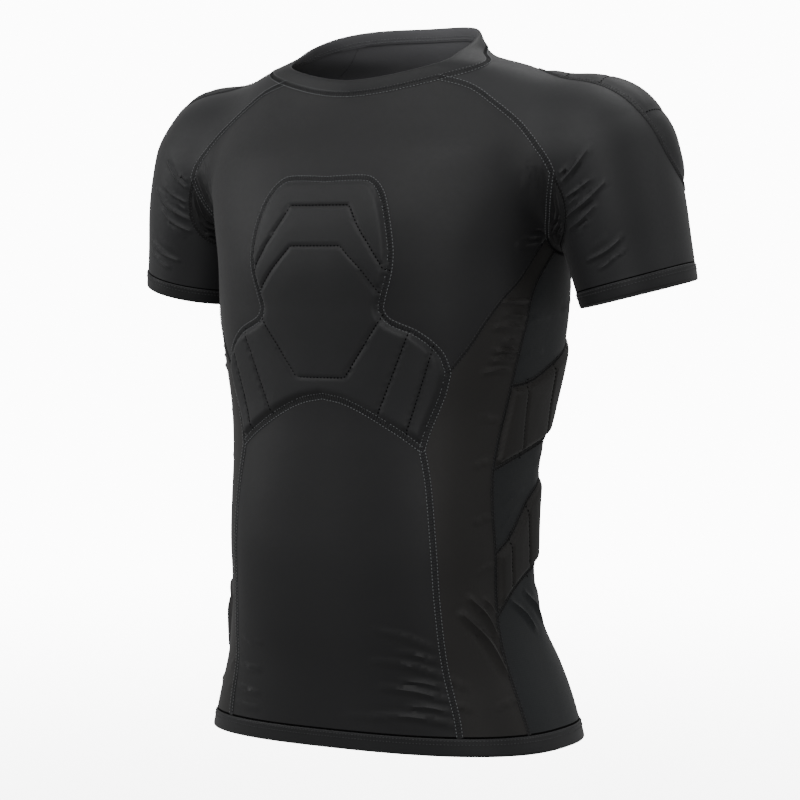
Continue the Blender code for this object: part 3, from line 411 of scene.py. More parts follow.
class Seams:
    """Every seam of the +X side as settled points; step is their spacing."""

    def __init__(self, step):
        self.step = step
        f, b = NECK_FRONT_ANGLE, NECK_BACK_ANGLE

        self.neck_turn = [self.turns(neck_ring, a0, a1)
                          for a0, a1 in ((0, f), (f, b), (b, 180))]
        self.neck_front, self.neck_side, self.neck_back = map(neck_ring, self.neck_turn)
        front = settle(through(np.vstack([self.neck_front[-1:], mm(ARMHOLE_FRONT)])))
        back = settle(through(np.vstack([self.neck_back[:1], mm(ARMHOLE_BACK)])))
        self.armhole_front, self.armhole_back = even(front, step), even(back, step)
        tip_f, tip_b = self.armhole_front[-1], self.armhole_back[-1]
        trunk = settle(through(np.vstack([tip_f, mm(GUSSET_TRUNK), tip_b])))
        sleeve = settle(through(np.vstack([tip_f, mm(GUSSET_SLEEVE), tip_b])))
        pieces, rest = [], trunk
        for corner in GUSSET_CORNERS:
            piece, rest = nearest_split(rest, settle(mm([corner]))[0])
            pieces.append(piece)
        first, second, third = pieces
        self.gusset = [even(line, step * GUSSET_FINER) for line in pieces + [rest]]
        halves = nearest_split(sleeve, settle(mm([UNDERARM]))[0])
        self.gusset_sleeve = [even(line, step * GUSSET_FINER) for line in halves]

        def girth(rows):
            return [girth_point(*row) for row in rows]

        def face(rows, facing):
            return [face_point(*row, facing) for row in rows]

        corner, foot = face((PAD_TOP[-1], PAD_SIDE[-1]), -1)
        self.chest_side = even(settle(through([corner] + girth(CHEST_SIDE) + [first[-1]])),
                               step)
        self.pad_top, self.pad_side, self.pad_arch = (
            even(through(face(rows, -1)), step * PAD_FINER)
            for rows in (PAD_TOP, PAD_SIDE, PAD_ARCH))
        self.princess = even(settle(through([foot] + girth(FRONT_PRINCESS))), step)
        side = settle(through([second[-1]] + girth(SIDE)))
        rows = (RIB_TOP, RIB_FOOT, WAIST_TOP, WAIST_FOOT)
        self.side = [even(p, step) for p in cut_at(side, [r[0] for r in rows])]
        rear = settle(through([third[-1]] + face(BACK_PRINCESS, 1)))
        self.rear = [even(p, step) for p in cut_at(rear, [r[2] for r in rows])]
        self.cross = []
        for k, (_, passes, _) in enumerate(rows):
            line = [self.side[k][-1]] + girth(passes) + [self.rear[k][-1]]
            self.cross.append(even(settle(through(line)), step))
        ends = (self.princess[-1], self.side[-1][-1], self.rear[-1][-1])
        angles = [0.0] + [math.degrees(math.atan2(e[0], -e[1])) for e in ends] + [180.0]
        self.hem_turn = [self.turns(hem_ring, a0, a1) for a0, a1 in zip(angles, angles[1:])]
        self.hem = [hem_ring(turn) for turn in self.hem_turn]
        for k, end in enumerate(ends):
            self.hem[k][-1] = self.hem[k + 1][0] = end

    def turns(self, ring, first, last):
        """Angles between two others that part a ring in even steps."""
        fine = np.linspace(first, last, 80)
        line = ring(fine)
        along = lengths(line)
        even_steps = np.linspace(0, along[-1], stepped(line, self.step))
        return np.interp(even_steps, along, fine)


def hem_ring(angles):
    return level_ring(angles, HEM_SEAM)


def full_turn(parts):
    """Angles all round from those of the +X half."""
    half = np.concatenate([p[:-1] for p in parts] + [parts[-1][-1:]])
    return np.concatenate([half, 360 - half[-2:0:-1]])


def cuff_turn(step):
    """Angles round the end of a sleeve, from the underarm seam, in degrees."""
    return np.linspace(-180, 180, int(round(2 * math.pi * 0.06 / step)) + 1)


# Stitching that quilts the pads, as the real one shows it
CHEST_QUILT = (
    ((78, -212), (72, -211), (57, -187), (33, -151), (-33, -151), (-57, -187), (-72, -211),
     (-78, -212)),
    ((69, -236), (65, -230), (28, -189), (-28, -189), (-65, -230), (-69, -236)),
    ((69, -253), (66, -258), (27, -314), (-27, -314), (-66, -258), (-69, -253)),
    ((93, -268), (59, -351)),
    ((113, -282), (86, -369)),
    ((-93, -268), (-59, -351)),
    ((-113, -282), (-86, -369)),
)
RIB_QUILT = (((80, -315), (80, -395)), ((97, -295), (97, -382)), ((112, -280), (112, -374)))
WAIST_QUILT = (((75, -462), (76, -526)), ((86, -436), (88, -512)), ((101, -410), (102, -494)))
# Outline and quilting of the shoulder pad: angle round the arm from its outer side,
# positive to the front, and distance along the arm's line from the neck
SHOULDER_PAD = ((6, 90), (11, 106), (13, 126), (13, 142), (10, 157), (5, 170), (-4, 181),
                (-16, 190), (-32, 195), (-50, 194), (-67, 184), (-74, 166), (-66, 146),
                (-52, 124), (-38, 104), (-25, 89), (-8, 84))
SHOULDER_QUILT = (((11, 106), (-39, 106)), ((13, 130), (-56, 132)), ((10, 155), (-71, 158)))

# Creases: the two numbers of the place where each starts, those where it ends, its half
# width and its height, in millimetres. On the sleeve a place is (angle, along), on the sides
# (angle from the front, z), on the front and back (x, z), on the gusset (along, across).
CREASES = {
    "sleeve": (
        (86, 147, 52, 151, 2.6, 3), (80, 142, 68, 147, 1.9, 1.6), (91, 158, 63, 165, 2.2, 2.5),
        (96, 164, 80, 166, 1.9, 1.2), (99, 172, 58, 172, 2.6, 3.2),
        (104, 182, 73, 181, 2.4, 2.4), (101, 189, 84, 187, 2, 1.2),
        (100, 217, 66, 208, 2.6, 2.6), (92, 232, 77, 224, 2.4, 1.6), (80, 225, 66, 219, 2, 1),
        (92, 206, 78, 202, 2.6, 0.8), (-92, 164, -58, 172, 4, 2.4),
        (-100, 176, -76, 184, 3, 1.4), (-106, 188, -70, 198, 4.4, 2.8),
        (-98, 214, -68, 214, 4, 2), (-112, 203, -88, 208, 3, 1.3),
        (-86, 232, -62, 229, 3.4, 1.4),
    ),
    "side_front": (
        (65, -243, 79, -242, 2.4, 3.2), (67, -254, 77, -257, 2, 2.2),
        (63, -266, 75, -267, 2.2, 2.8), (67, -278, 73.4, -279, 1.9, 1.6),
        (64, -289, 73.6, -289, 2, 3.2), (63, -298, 73, -297, 2, 2.8),
        (60, -309, 71, -306, 2.2, 2.2), (60, -352, 70, -357, 2.6, 1.1),
        (58, -398, 66, -392, 2.6, 1.2), (58, -452, 66.4, -447, 2.6, 1.2),
        (60, -500, 67.4, -492, 2.6, 1.2), (53.4, -537, 69.8, -598, 4.2, 5.2),
        (56, -522, 67.5, -562, 3.2, 4.2), (62, -524, 67.6, -541, 2.2, 1.8),
        (50, -600, 55, -610, 3.2, 1.2), (49, -622, 56, -630, 3.2, 1),
        (64, -628, 73, -622, 3.2, 1),
    ),
    "flank_lower": (
        (76, -530, 91, -563, 3.4, 3.2), (86, -524, 99, -558, 3.2, 3),
        (95, -518, 104, -548, 3.2, 1.5),
    ),
    "flank_mid": (
        (72, -436, 84, -424, 3, 1.1), (71, -458, 80, -440, 2.6, 1),
        (100, -386, 92, -402, 2.8, 0.9),
    ),
    "flank_upper": (
        (76, -262, 90, -258, 3, 1.2), (76, -296, 88, -290, 2.6, 1),
        (112, -240, 100, -250, 3, 1),
    ),
    "abdomen": (
        (56, -554, 110, -570, 4.2, 1.2), (78, -574, 114, -584, 3, 1.5),
        (52, -584, 117, -597, 4, 1.9), (78, -602, 119, -609, 2.8, 1.5),
        (58, -610, 121, -620, 3.8, 2.2), (82, -627, 123, -631, 2.8, 1.8),
        (50, -638, 125, -643, 4, 2.1), (20, -640, 80, -646, 5, 0.8),
        (-84, -604, -113, -600, 3.4, 1.6), (-88, -628, -118, -622, 3.2, 1.6),
        (-90, -644, -121, -640, 3, 1.2), (-78, -578, -106, -572, 3.2, 1),
    ),
    "chest": (
        (200, -112, 190, -152, 2.8, 2), (193, -108, 184, -148, 2.6, 1.4),
        (186, -100, 178, -138, 2.8, 1.1), (177, -172, 184, -173, 1.8, 2.2),
        (174, -180, 182, -182, 1.9, 2.4), (170, -188, 180, -190, 2, 2.2),
        (-200, -112, -190, -152, 2.8, 2), (-193, -108, -184, -148, 2.6, 1.4),
        (-186, -100, -178, -138, 2.8, 1.1),
    ),
    "gusset": (
        (12, -3, 80, -10, 1.9, 1.6), (14, 2, 110, -2, 2.1, 2.4), (22, 6, 120, 6, 2.1, 2.2),
        (34, 11, 130, 13, 2.1, 2), (40, -9, 100, -14, 1.9, 1.4), (60, 17, 140, 18, 2, 1.6),
        (130, -8, 215, -3, 3.4, 1.6),
    ),
    "back": (
        (172, -150, 140, -168, 4.4, 1.8), (168, -172, 142, -192, 3.6, 1.2),
        (-172, -146, -138, -166, 4.4, 1.7), (-166, -176, -140, -190, 3.6, 1.1),
        (58, -466, 98, -456, 4.4, 1.5), (50, -486, 97, -480, 4, 1.3),
        (60, -508, 97, -506, 3.6, 1.2), (-56, -470, -97, -464, 4.4, 1.4),
        (-64, -490, -96, -488, 3.6, 1.2), (-48, -512, -95, -514, 4, 1.2),
        (-20, -488, 24, -492, 5, 0.8),
    ),
}
SPINE = ((60, 8, -115), (110, 10, -113), (158, 13, -116), (204, 17, -134), (232, 21, -165),
         (247, 27, -200), (258, 31.5, -250), (269, 36, -300))


class Face:
    """Flat coordinates for the panels of the front (facing -1) or the back (facing 1).

    Each level has an axis behind the panel. It moves away above the armpits, where the
    panel lies flatter, so that lines from it meet the cloth squarely.
    """

    plane = 0.06

    def __init__(self, facing, near, far):
        self.facing, self.near, self.far = facing, near, far

    def axis(self, z):
        return self.near + (self.far - self.near) * ease((z + 0.215) / 0.06)

    def flat(self, p):
        axis = self.axis(p[:, 2])
        ahead = axis + self.facing * p[:, 1]
        return np.stack([p[:, 0] * (axis + self.plane) / ahead, p[:, 2]], -1)

    def lift(self, uv):
        u, z = uv[:, 0], uv[:, 1]
        axis = self.axis(z)
        toward = unit(np.stack([u, self.facing * (axis + self.plane), 0 * u], -1))
        start = np.stack([0 * u, -self.facing * axis, z], -1)
        return leave(start, toward, (axis - 0.005) / np.abs(toward[:, 1]))


class Around:
    """Flat coordinates round the upright centre line, for the panels of the sides."""

    radius = 0.150

    def flat(self, p):
        angle = np.arctan2(p[:, 0], -p[:, 1])
        return np.stack([angle * self.radius, p[:, 2]], -1)

    def lift(self, uv):
        return level_rays(uv[:, 0] / self.radius, uv[:, 1])


class Limb:
    """Flat coordinates round a line from the neck into the sleeve."""

    radius = 0.066

    def __init__(self):
        self.line = through(mm(SPINE), 24)
        self.at = lengths(self.line)
        self.tangent = unit(np.gradient(self.line, self.at, axis=0))
        ahead = np.array([0.0, -1.0, 0.0])
        ahead = unit(ahead - self.tangent * (self.tangent @ ahead)[:, None])
        self.ahead = ahead
        self.outer = np.cross(ahead, self.tangent) * -1.0
        if self.outer[0, 2] < 0:
            self.outer = -self.outer

    def station(self, s):
        """The line's point at a distance along it, with its outward and forward axes."""
        return [between(s, self.at, rows) for rows in (self.line, self.outer, self.ahead)]

    def lift(self, uv):
        angle = uv[:, 0] / self.radius
        centre, outer, ahead = self.station(uv[:, 1])
        toward = unit(np.cos(angle)[:, None] * outer + np.sin(angle)[:, None] * ahead)
        return leave(centre, toward, 0.02)

    def flat(self, p):
        """Angle and distance of points that follow one another along a line."""
        away = np.einsum("nmk,mk->nm", p[:, None, :] - self.line[None], self.tangent)
        far = np.linalg.norm(p[:, None, :] - self.line[None], axis=2)
        crossing = (away[:, :-1] >= 0) & (away[:, 1:] < 0)
        far = np.where(crossing, far[:, :-1], FAR)
        k = np.argmin(far, axis=1)
        rows = np.arange(len(p))
        t = away[rows, k] / (away[rows, k] - away[rows, k + 1])
        s = self.at[k] + t * (self.at[k + 1] - self.at[k])
        centre, outer, ahead = self.station(s)
        q = p - centre
        angle = np.arctan2((q * ahead).sum(1), (q * outer).sum(1))
        return np.stack([angle * self.radius, s], -1)

    def flat_line(self, p):
        uv = self.flat(p)
        uv[:, 0] = np.unwrap(uv[:, 0] / self.radius) * self.radius
        return uv


def inside(points, loop):
    """Which flat points lie inside a closed loop."""
    x, y = points[:, 0], points[:, 1]
    hit = np.zeros(len(points), bool)
    for (x0, y0), (x1, y1) in zip(loop, np.roll(loop, -1, axis=0)):
        if y0 == y1:
            continue
        across = (y0 > y) != (y1 > y)
        hit ^= across & (x < (x1 - x0) * (y - y0) / (y1 - y0) + x0)
    return hit


def distance(points, lines):
    """Shortest distance from flat points to any of the lines."""
    best = np.full(len(points), FAR)
    for line in lines:
        for a, b in zip(line[:-1], line[1:]):
            d = b - a
            t = np.clip(((points - a) @ d) / max(d @ d, 1e-12), 0, 1)
            gap = points - a - t[:, None] * d
            best = np.minimum(best, np.sqrt((gap ** 2).sum(1)))
    return best


def mesh_region(loop, holes, lines, spacing):
    """Flat triangles filling a loop, with its own points first and rows along the lines."""
    rings = [loop] + list(holes)
    points = list(np.vstack(rings))
    edges, at = [], 0
    for ring in rings:
        edges += [(at + k, at + (k + 1) % len(ring)) for k in range(len(ring))]
        at += len(ring)
    fixed = len(points)
    borders = [closed(r) for r in rings]

    def within(extra):
        hit = inside(extra, loop)
        for hole in holes:
            hit &= ~inside(extra, hole)
        return hit

    def keep(extra, clear):
        extra = extra[within(extra)]
        return extra[distance(extra, borders) > clear]

    crests = []
    for line in lines:
        line = spread(line, stepped(line, spacing))
        kept = keep(line, spacing * 0.4)
        for a, b in zip(kept[:-1], kept[1:]):
            if np.linalg.norm(b - a) < spacing * 1.6:
                edges.append((len(points), len(points) + 1))
            points.append(a)
        if len(kept):
            points.append(kept[-1])
        crests.append(line)
    low, high = loop.min(0), loop.max(0)
    lattice = []
    for k, v in enumerate(np.arange(low[1], high[1], spacing * LATTICE)):
        us = np.arange(low[0] + (k % 2) * spacing / 2, high[0], spacing)
        lattice.append(np.stack([us, np.full(len(us), v)], -1))
    lattice = keep(np.vstack(lattice), spacing * 0.5)
    if crests:
        lattice = lattice[distance(lattice, crests) > spacing * 0.5]
    points += list(lattice)
    out, _, faces, came, _, _ = delaunay_2d_cdt(
        [Vector(p) for p in points], edges, [], 0, 1e-7, True)
    uv = np.array([tuple(v) for v in out])
    faces = np.array(faces)
    faces = faces[within(uv[faces].mean(1))]
    origin = np.full(len(out), -1)
    for k, sources in enumerate(came):
        for source in sources:
            if source < fixed:
                origin[k] = source
    used = np.unique(faces)
    index = np.full(len(out), -1)
    index[used] = np.arange(len(used))
    return uv[used], index[faces], origin[used]


def drawn_back(loop, clockwise):
    """A loop of surface points drawn back by half of the seam gap."""
    ahead = unit(np.roll(loop, -1, axis=0) - loop)
    behind = unit(loop - np.roll(loop, 1, axis=0))
    up = normal(loop)
    sign = -1.0 if clockwise else 1.0
    a, b = np.cross(up, ahead) * sign, np.cross(up, behind) * sign
    both = unit(a + b)
    share = np.clip((both * a).sum(1), 0.35, 1)
    return loop + both * (SEAM_GAP / 2 / share)[:, None]


def area(loop):
    x, y = loop[:, 0], loop[:, 1]
    return 0.5 * float((x * np.roll(y, -1) - y * np.roll(x, -1)).sum())


def runs_clockwise(flat, mapping):
    """True where flat coordinates run the other way round, as seen from outside."""
    middle = flat.mean(0)
    step = 0.004
    p = mapping.lift(np.array([middle, middle + (step, 0), middle + (0, step)]))
    return float(np.cross(p[1] - p[0], p[2] - p[0]) @ normal(p[:1])[0]) < 0


def ease(t):
    t = np.clip(t, 0, 1)
    return t * t * (3 - 2 * t)


def puff(t):
    """Profile of foam under tight cloth: steep at its foot and round at its top."""
    return 1 - (1 - np.clip(t, 0, 1)) ** FOAM_CURVE


def crease(p, line, half, tall):
    """Height of one crease at points p: a ridge that fades at its ends, with a shallow
    hollow along both sides."""
    best, at = np.full(len(p), FAR), np.zeros(len(p))
    for k, (a, b) in enumerate(zip(line[:-1], line[1:])):
        d = b - a
        t = np.clip(((p - a) @ d) / max(d @ d, 1e-12), 0, 1)
        gap = np.linalg.norm(p - a - t[:, None] * d, axis=1)
        near = gap < best
        best = np.where(near, gap, best)
        at = np.where(near, (k + t) / (len(line) - 1), at)
    x = best / half
    fade = np.sin(math.pi * np.clip(0.10 + 0.84 * at, 0, 1)) ** 0.7
    return tall * fade * (np.exp(-2.6 * x * x) - 0.24 * np.exp(-((x - 1.4) / 0.5) ** 2))


# Height, wave numbers along x, y and z, and phase of the waves in stretched cloth
WAVES = ((0.00016, 31, 17, 43, 0.4), (0.00013, -52, 39, 27, 1.9),
         (0.00008, 88, -61, 71, 3.1))


def waver(p):
    """Slight unevenness of cloth under tension, in metres."""
    total = np.zeros(len(p))
    for size, *wave, phase in WAVES:
        total += size * np.sin(p @ np.array(wave, float) + phase)
    return total


class Panel:
    """One cut piece as a fine shell with its outer and inner face."""

    def __init__(self, name, loop, mapping, flat=None, holes=(), quilt=(), folds=(),
                 spacing=FINE, rise=0.0, share=STITCH_SHARE, edge=FOAM_ROUND):
        self.name, self.rise, self.share, self.edge = name, rise, share, edge
        flat = mapping.flat(loop) if flat is None else flat
        if area(flat) < 0:
            loop, flat = loop[::-1], flat[::-1]
        clockwise = runs_clockwise(flat, mapping)
        rings3, rings2 = [drawn_back(loop, clockwise)], [flat]
        for hole3, hole2 in holes:
            if area(hole2) > 0:
                hole3, hole2 = hole3[::-1], hole2[::-1]
            rings3.append(drawn_back(hole3, clockwise))
            rings2.append(hole2)
        lines = list(quilt) + [line for line, _, _ in folds]
        uv, faces, origin = mesh_region(rings2[0], rings2[1:], lines, spacing)
        own = origin >= 0
        base = np.zeros((len(uv), 3))
        base[own] = np.vstack(rings3)[origin[own]]
        base[~own] = mapping.lift(uv[~own])
        self.borders = [closed(r) for r in rings3]
        self.quilt = [mapping.lift(spread(line, 40)) for line in quilt]
        self.folds = [(mapping.lift(spread(line, 8)), half, tall) for line, half, tall in folds]
        up = normal(base)
        fold = self.fold(base)
        self.uv, self.faces = uv, faces[:, ::-1] if clockwise else faces
        self.inner = base + up * (fold - CLOTH)[:, None]
        self.outer = base + up * (fold + self.height(base))[:, None]

    def fold(self, p):
        away = distance(p, self.borders)
        total = waver(p)
        for line, half, tall in self.folds:
            total = total + crease(p, line, half, tall)
        return total * ease(away / SEAM_CALM)

    def height(self, p):
        """How far the outside stands over the figure at points near it."""
        if not self.rise:
            return np.zeros(len(p))
        away = distance(p, self.borders)
        stitched = distance(p, self.quilt) if self.quilt else np.full(len(p), FAR)
        edge = puff((away - FOAM_START) / self.edge)
        sewn = self.share + (1 - self.share) * puff(stitched / QUILT_ROUND)
        crown = CROWN * ease(np.minimum(away - FOAM_START, stitched) / CROWN_WIDE)
        return self.rise * edge * sewn + crown

    def shell(self):
        count = len(self.outer)
        tris = [self.faces, self.faces[:, ::-1] + count]
        edges = np.vstack([self.faces[:, [0, 1]], self.faces[:, [1, 2]], self.faces[:, [2, 0]]])
        have = {tuple(e) for e in edges.tolist()}
        rim = np.array([(a, b) for a, b in have if (b, a) not in have])
        a, b = rim[:, 0], rim[:, 1]
        tris += [np.stack([b, a, a + count], -1), np.stack([b, a + count, b + count], -1)]
        return np.vstack([self.outer, self.inner]), np.vstack(tris)

    def other_side(self, name):
        twin = object.__new__(Panel)
        twin.name, twin.rise, twin.uv = name, self.rise, self.uv
        twin.outer, twin.inner = mirrored(self.outer), mirrored(self.inner)
        twin.faces = self.faces[:, ::-1]
        return twin

    def cut(self):
        """Width, length and area of the flat cut, in metres."""
        real = surface(self.outer, self.faces)
        flat = abs(surface(np.c_[self.uv, 0 * self.uv[:, 0]], self.faces))
        spans = np.ptp(self.uv, axis=0) * math.sqrt(real / flat)
        return float(spans[0]), float(spans[1]), real


def surface(p, faces):
    a, b, c = p[faces[:, 0]], p[faces[:, 1]], p[faces[:, 2]]
    return float(np.linalg.norm(np.cross(b - a, c - a), axis=1).sum() / 2)


def whole(half):
    """A loop across the centre line from its +X half."""
    half = half.copy()
    half[0, 0] = half[-1, 0] = 0.0
    return np.vstack([half, mirrored(half[-2:0:-1])])


class Gusset:
    """Flat coordinates along and across the underarm gusset."""

    pit = (0.186, 0.018, -0.135)        # a point inside the figure over the armpit
    pit_reach, pit_fade = 0.062, 0.022  # how far fore and aft the armpit goes, and fades
    narrow, wide = 0.002, 0.046         # width at the tips, and what the middle adds

    def __init__(self, seams):
        self.trunk, self.sleeve = chain(*seams.gusset), chain(*seams.gusset_sleeve)
        self.length = float(lengths(self.trunk)[-1])
        self.a = lengths(self.trunk) / self.length
        self.b = lengths(self.sleeve) / lengths(self.sleeve)[-1]
        t = np.linspace(0, 1, 41)
        crest = (between(t, self.a, self.trunk) + between(t, self.b, self.sleeve)) / 2
        # In the armpit the middle of the gusset follows the underside's highest line
        x = np.linspace(-0.02, 0.03, 51)
        for k in range(len(t)):
            y = crest[k, 1]
            weight = float(ease((self.pit_reach - abs(y - self.pit[1])) / self.pit_fade))
            if weight <= 0:
                continue
            start = np.stack([self.pit[0] + x, y + 0 * x, self.pit[2] + 0 * x], -1)
            ends = leave(start, np.array([0.0, 0.0, -1.0]), 0.0)
            best = ends[np.argmax(ends[:, 2])]
            crest[k] += (best - crest[k]) * weight
        self.t, self.crest = t, settle(crest)

    def width(self, t):
        return self.narrow + self.wide * np.sin(math.pi * np.clip(t, 0, 1)) ** 0.8

    def loop(self):
        low = np.stack([self.a * self.length, -self.width(self.a) / 2], -1)
        high = np.stack([self.b * self.length, self.width(self.b) / 2], -1)
        flat = np.vstack([low[:-1], high[:0:-1]])
        return np.vstack([self.trunk[:-1], self.sleeve[:0:-1]]), flat

    def lift(self, uv):
        t = uv[:, 0] / self.length
        v = np.clip(uv[:, 1] / self.width(t) + 0.5, 0, 1)[:, None]
        low = between(t, self.a, self.trunk)
        mid = between(t, self.t, self.crest)
        high = between(t, self.b, self.sleeve)
        p = np.where(v < 0.5, low + (mid - low) * v * 2, mid + (high - mid) * (v * 2 - 1))
        return settle(p)


def cuff_lift(angle):
    """How much the sleeve is shorter at an angle round the arm from its outer side."""
    return CUFF_TILT * (1 + np.cos(angle)) / 2


def limb_end(limb):
    """Distance along the sleeve's line to the cuff seam."""
    return float(limb.at[-1]) - SLEEVE_CUT - CUFF_BAND


def cuff_ring(limb, angle, drop=0.0):
    """Points round the sleeve at angles in radians, by drop below the cuff seam."""
    along = limb_end(limb) - cuff_lift(angle) + drop
    return limb.lift(np.stack([angle * limb.radius, along], -1))


def folds_of(name, place, bow=0.06):
    """A piece's creases as flat lines; place turns a pair of their numbers into a point,
    and bow is how far the middle stands aside, as a share of the length."""
    rows = []
    for *ends, half, tall in CREASES.get(name, ()):
        a, b = place(*ends[:2]), place(*ends[2:])
        middle = (a + b) / 2 + np.array([a[1] - b[1], b[0] - a[0]]) * bow
        rows.append((through([a, middle, b], 6), half * 0.001, tall * 0.001))
    return rows


def panels():
    """Every cut piece, with the seams and mappings that they share."""
    s = Seams(FINE)
    # The mappings. The axis of the front stands 0.12 m beyond the plane Y = 0, and 0.40 m
    # above the armpits, and that of the back 0.10 m and 0.45 m.
    front, rear, side, limb = Face(-1, 0.12, 0.40), Face(1, 0.10, 0.45), Around(), Limb()
    gusset = s.gusset

    def on_front(x, z):
        return front.flat(face_point(x, z, -1)[None])[0]

    def on_back(x, z):
        return rear.flat(face_point(x, z, 1)[None])[0]

    def on_side(angle, z):
        return np.array([math.radians(angle) * side.radius, z * 0.001])

    def on_sleeve(angle, along):
        return np.array([math.radians(angle) * limb.radius, along * 0.001])

    chest = chain(s.neck_front, s.armhole_front, gusset[0], s.chest_side[::-1],
                  s.pad_top[::-1])
    pad = whole(chain(s.pad_top, s.pad_side, s.pad_arch))
    abdomen = chain(s.pad_arch[::-1], s.princess, s.hem[0][::-1])
    back = chain(s.neck_back[::-1], s.armhole_back, gusset[3][::-1], *s.rear, s.hem[3])
    quilt = [np.array([on_front(*row) for row in line]) for line in CHEST_QUILT]
    made = [
        Panel("chest", whole(chest), front, folds=folds_of("chest", on_front)),
        Panel("chest_pad", pad, front, quilt=quilt, spacing=FINE_FOAM, rise=PAD_RISE),
        Panel("abdomen", whole(abdomen), front, folds=folds_of("abdomen", on_front)),
        Panel("back", whole(back), rear, folds=folds_of("back", on_back)),
    ]
    pairs = []
    loop = joined(s.chest_side, gusset[1], *s.side, s.hem[1][::-1], s.princess[::-1],
                  s.pad_side[::-1])
    pairs.append(Panel("side_front", loop, side, folds=folds_of("side_front", on_side)))
    names = ("flank_upper", "rib_pad", "flank_mid", "kidney_pad", "flank_lower")
    tops = [gusset[2]] + s.cross
    feet = [c[::-1] for c in s.cross] + [s.hem[2][::-1]]
    for k, name in enumerate(names):
        loop = joined(tops[k], s.rear[k], feet[k], s.side[k][::-1])
        stitched = {"rib_pad": RIB_QUILT, "kidney_pad": WAIST_QUILT}.get(name, ())
        quilt = [side.flat(np.array([girth_point(*row) for row in line])) for line in stitched]
        pairs.append(Panel(name, loop, side, quilt=quilt, rise=PAD_RISE if quilt else 0.0,
                           spacing=FINE_FOAM if quilt else FINE,
                           folds=folds_of(name, on_side)))
    turn = math.radians(180) * limb.radius
    # The underarm seam runs from the gusset to the sleeve's inner side
    start_u, top = limb.flat(s.gusset_sleeve[1][:1])[0]
    end = limb_end(limb)
    down = np.linspace(top, end, max(3, int(round((end - top) / FINE)) + 1))
    start_u = start_u if start_u < 0 else start_u - 2 * turn
    underarm = limb.lift(np.stack([np.interp(down, [top, end], [start_u, -turn]), down], -1))
    underarm[0] = s.gusset_sleeve[1][0]
    cuff = cuff_ring(limb, np.radians(cuff_turn(FINE)))
    cuff[0] = cuff[-1] = underarm[-1]
    loop = joined(s.neck_side, s.armhole_back, s.gusset_sleeve[1][::-1], underarm, cuff,
                  underarm[::-1], s.gusset_sleeve[0][::-1], s.armhole_front[::-1])
    outline2 = through(np.array(SHOULDER_PAD + SHOULDER_PAD[:1], float), 8)[:-1]
    outline2 = outline2 * (math.radians(1) * limb.radius, 0.001)
    outline2 = spread(closed(outline2), int(round(lengths(outline2)[-1] / FINE)))[:-1]
    outline = limb.lift(outline2)
    pairs.append(Panel("sleeve", loop, limb, flat=limb.flat_line(loop), spacing=FINE_FOAM,
                       holes=[(outline, outline2)], folds=folds_of("sleeve", on_sleeve, -0.05)))
    quilt = [np.array([on_sleeve(*row) for row in line]) for line in SHOULDER_QUILT]
    pairs.append(Panel("shoulder_pad", outline, limb, flat=outline2, quilt=quilt,
                       spacing=FINE_FOAM, rise=SHOULDER_RISE, share=SHOULDER_SHARE,
                       edge=SHOULDER_ROUND))
    under = Gusset(s)
    loop, flat = under.loop()
    pairs.append(Panel("gusset", loop, under, flat=flat, spacing=FINE_FOAM,
                       folds=folds_of("gusset", lambda u, v: mm((u, v)))))
    seams = {
        "neck": closed(neck_ring(full_turn(s.neck_turn))),
        "armhole_front": s.armhole_front, "armhole_back": s.armhole_back,
        "gusset_tip": gusset[0],
        "gusset_low": chain(*gusset[1:]), "gusset_sleeve": chain(*s.gusset_sleeve),
        "chest_side": s.chest_side, "princess": s.princess, "chest_pad": closed(pad),
        "side": chain(*s.side), "rear": chain(*s.rear),
        "cross_1": s.cross[0], "cross_2": s.cross[1], "cross_3": s.cross[2],
        "cross_4": s.cross[3], "underarm": underarm, "shoulder_pad": closed(outline),
    }
    return made, pairs, seams, s, limb


# Threads and tapes

class Soup:
    """Triangles gathered from many small pieces into one mesh."""

    def __init__(self):
        self.points, self.tris, self.count = [], [], 0

    def add(self, points, tris):
        self.points.append(points)
        self.tris.append(tris + self.count)
        self.count += len(points)

    def both_sides(self):
        """The same with its mirror image."""
        points, tris = np.vstack(self.points), np.vstack(self.tris)
        self.add(mirrored(points), tris[:, ::-1] * 1)
        return self

    def result(self):
        return np.vstack(self.points), np.vstack(self.tris)


def threads(soup, starts, ends, up, half=THREAD, arch=0.0004):
    """One stitch for each pair of ends: a short thread that arches over the cloth."""
    n = len(starts)
    run = ends - starts
    side = unit(np.cross(up, run)) * half
    lift = up * half * 0.8
    rows = [starts - lift]
    for t, rise in ((0.14, 0.55), (0.5, 1.0), (0.86, 0.55)):
        mid = starts + run * t + up * (arch * rise)
        rows += [mid + side, mid + lift, mid - side, mid - lift]
    rows.append(ends - lift)
    points = np.stack(rows, 1)
    tris = []
    for i in range(4):
        j = (i + 1) % 4
        tris += [(0, 1 + i, 1 + j), (13, 9 + j, 9 + i)]
        for r in (1, 5):
            tris += [(r + i, r + 4 + i, r + 4 + j), (r + i, r + 4 + j, r + j)]
    tris = np.array(tris)
    soup.add(points.reshape(-1, 3), (tris[None] + (np.arange(n) * 14)[:, None, None])
             .reshape(-1, 3))


def frames(line, step, height=None):
    """Points at even steps along a seam with their outward and sideways directions."""
    p = settle(spread(line, stepped(line, step)), 3)
    up = normal(p)
    along = unit(np.gradient(p, axis=0))
    side = unit(np.cross(up, along))
    if height is not None:
        p = p + up * height(p)[:, None]
    return p, up, side


# A seam tape's cross-section: share of its width and of its height. Its edges go down into
# the cloth.
TAPE_SECTION = ((-0.62, None), (-0.5, 0.6), (-0.25, 1.0), (0.0, 0.8), (0.25, 1.0), (0.5, 0.6),
                (0.62, None))


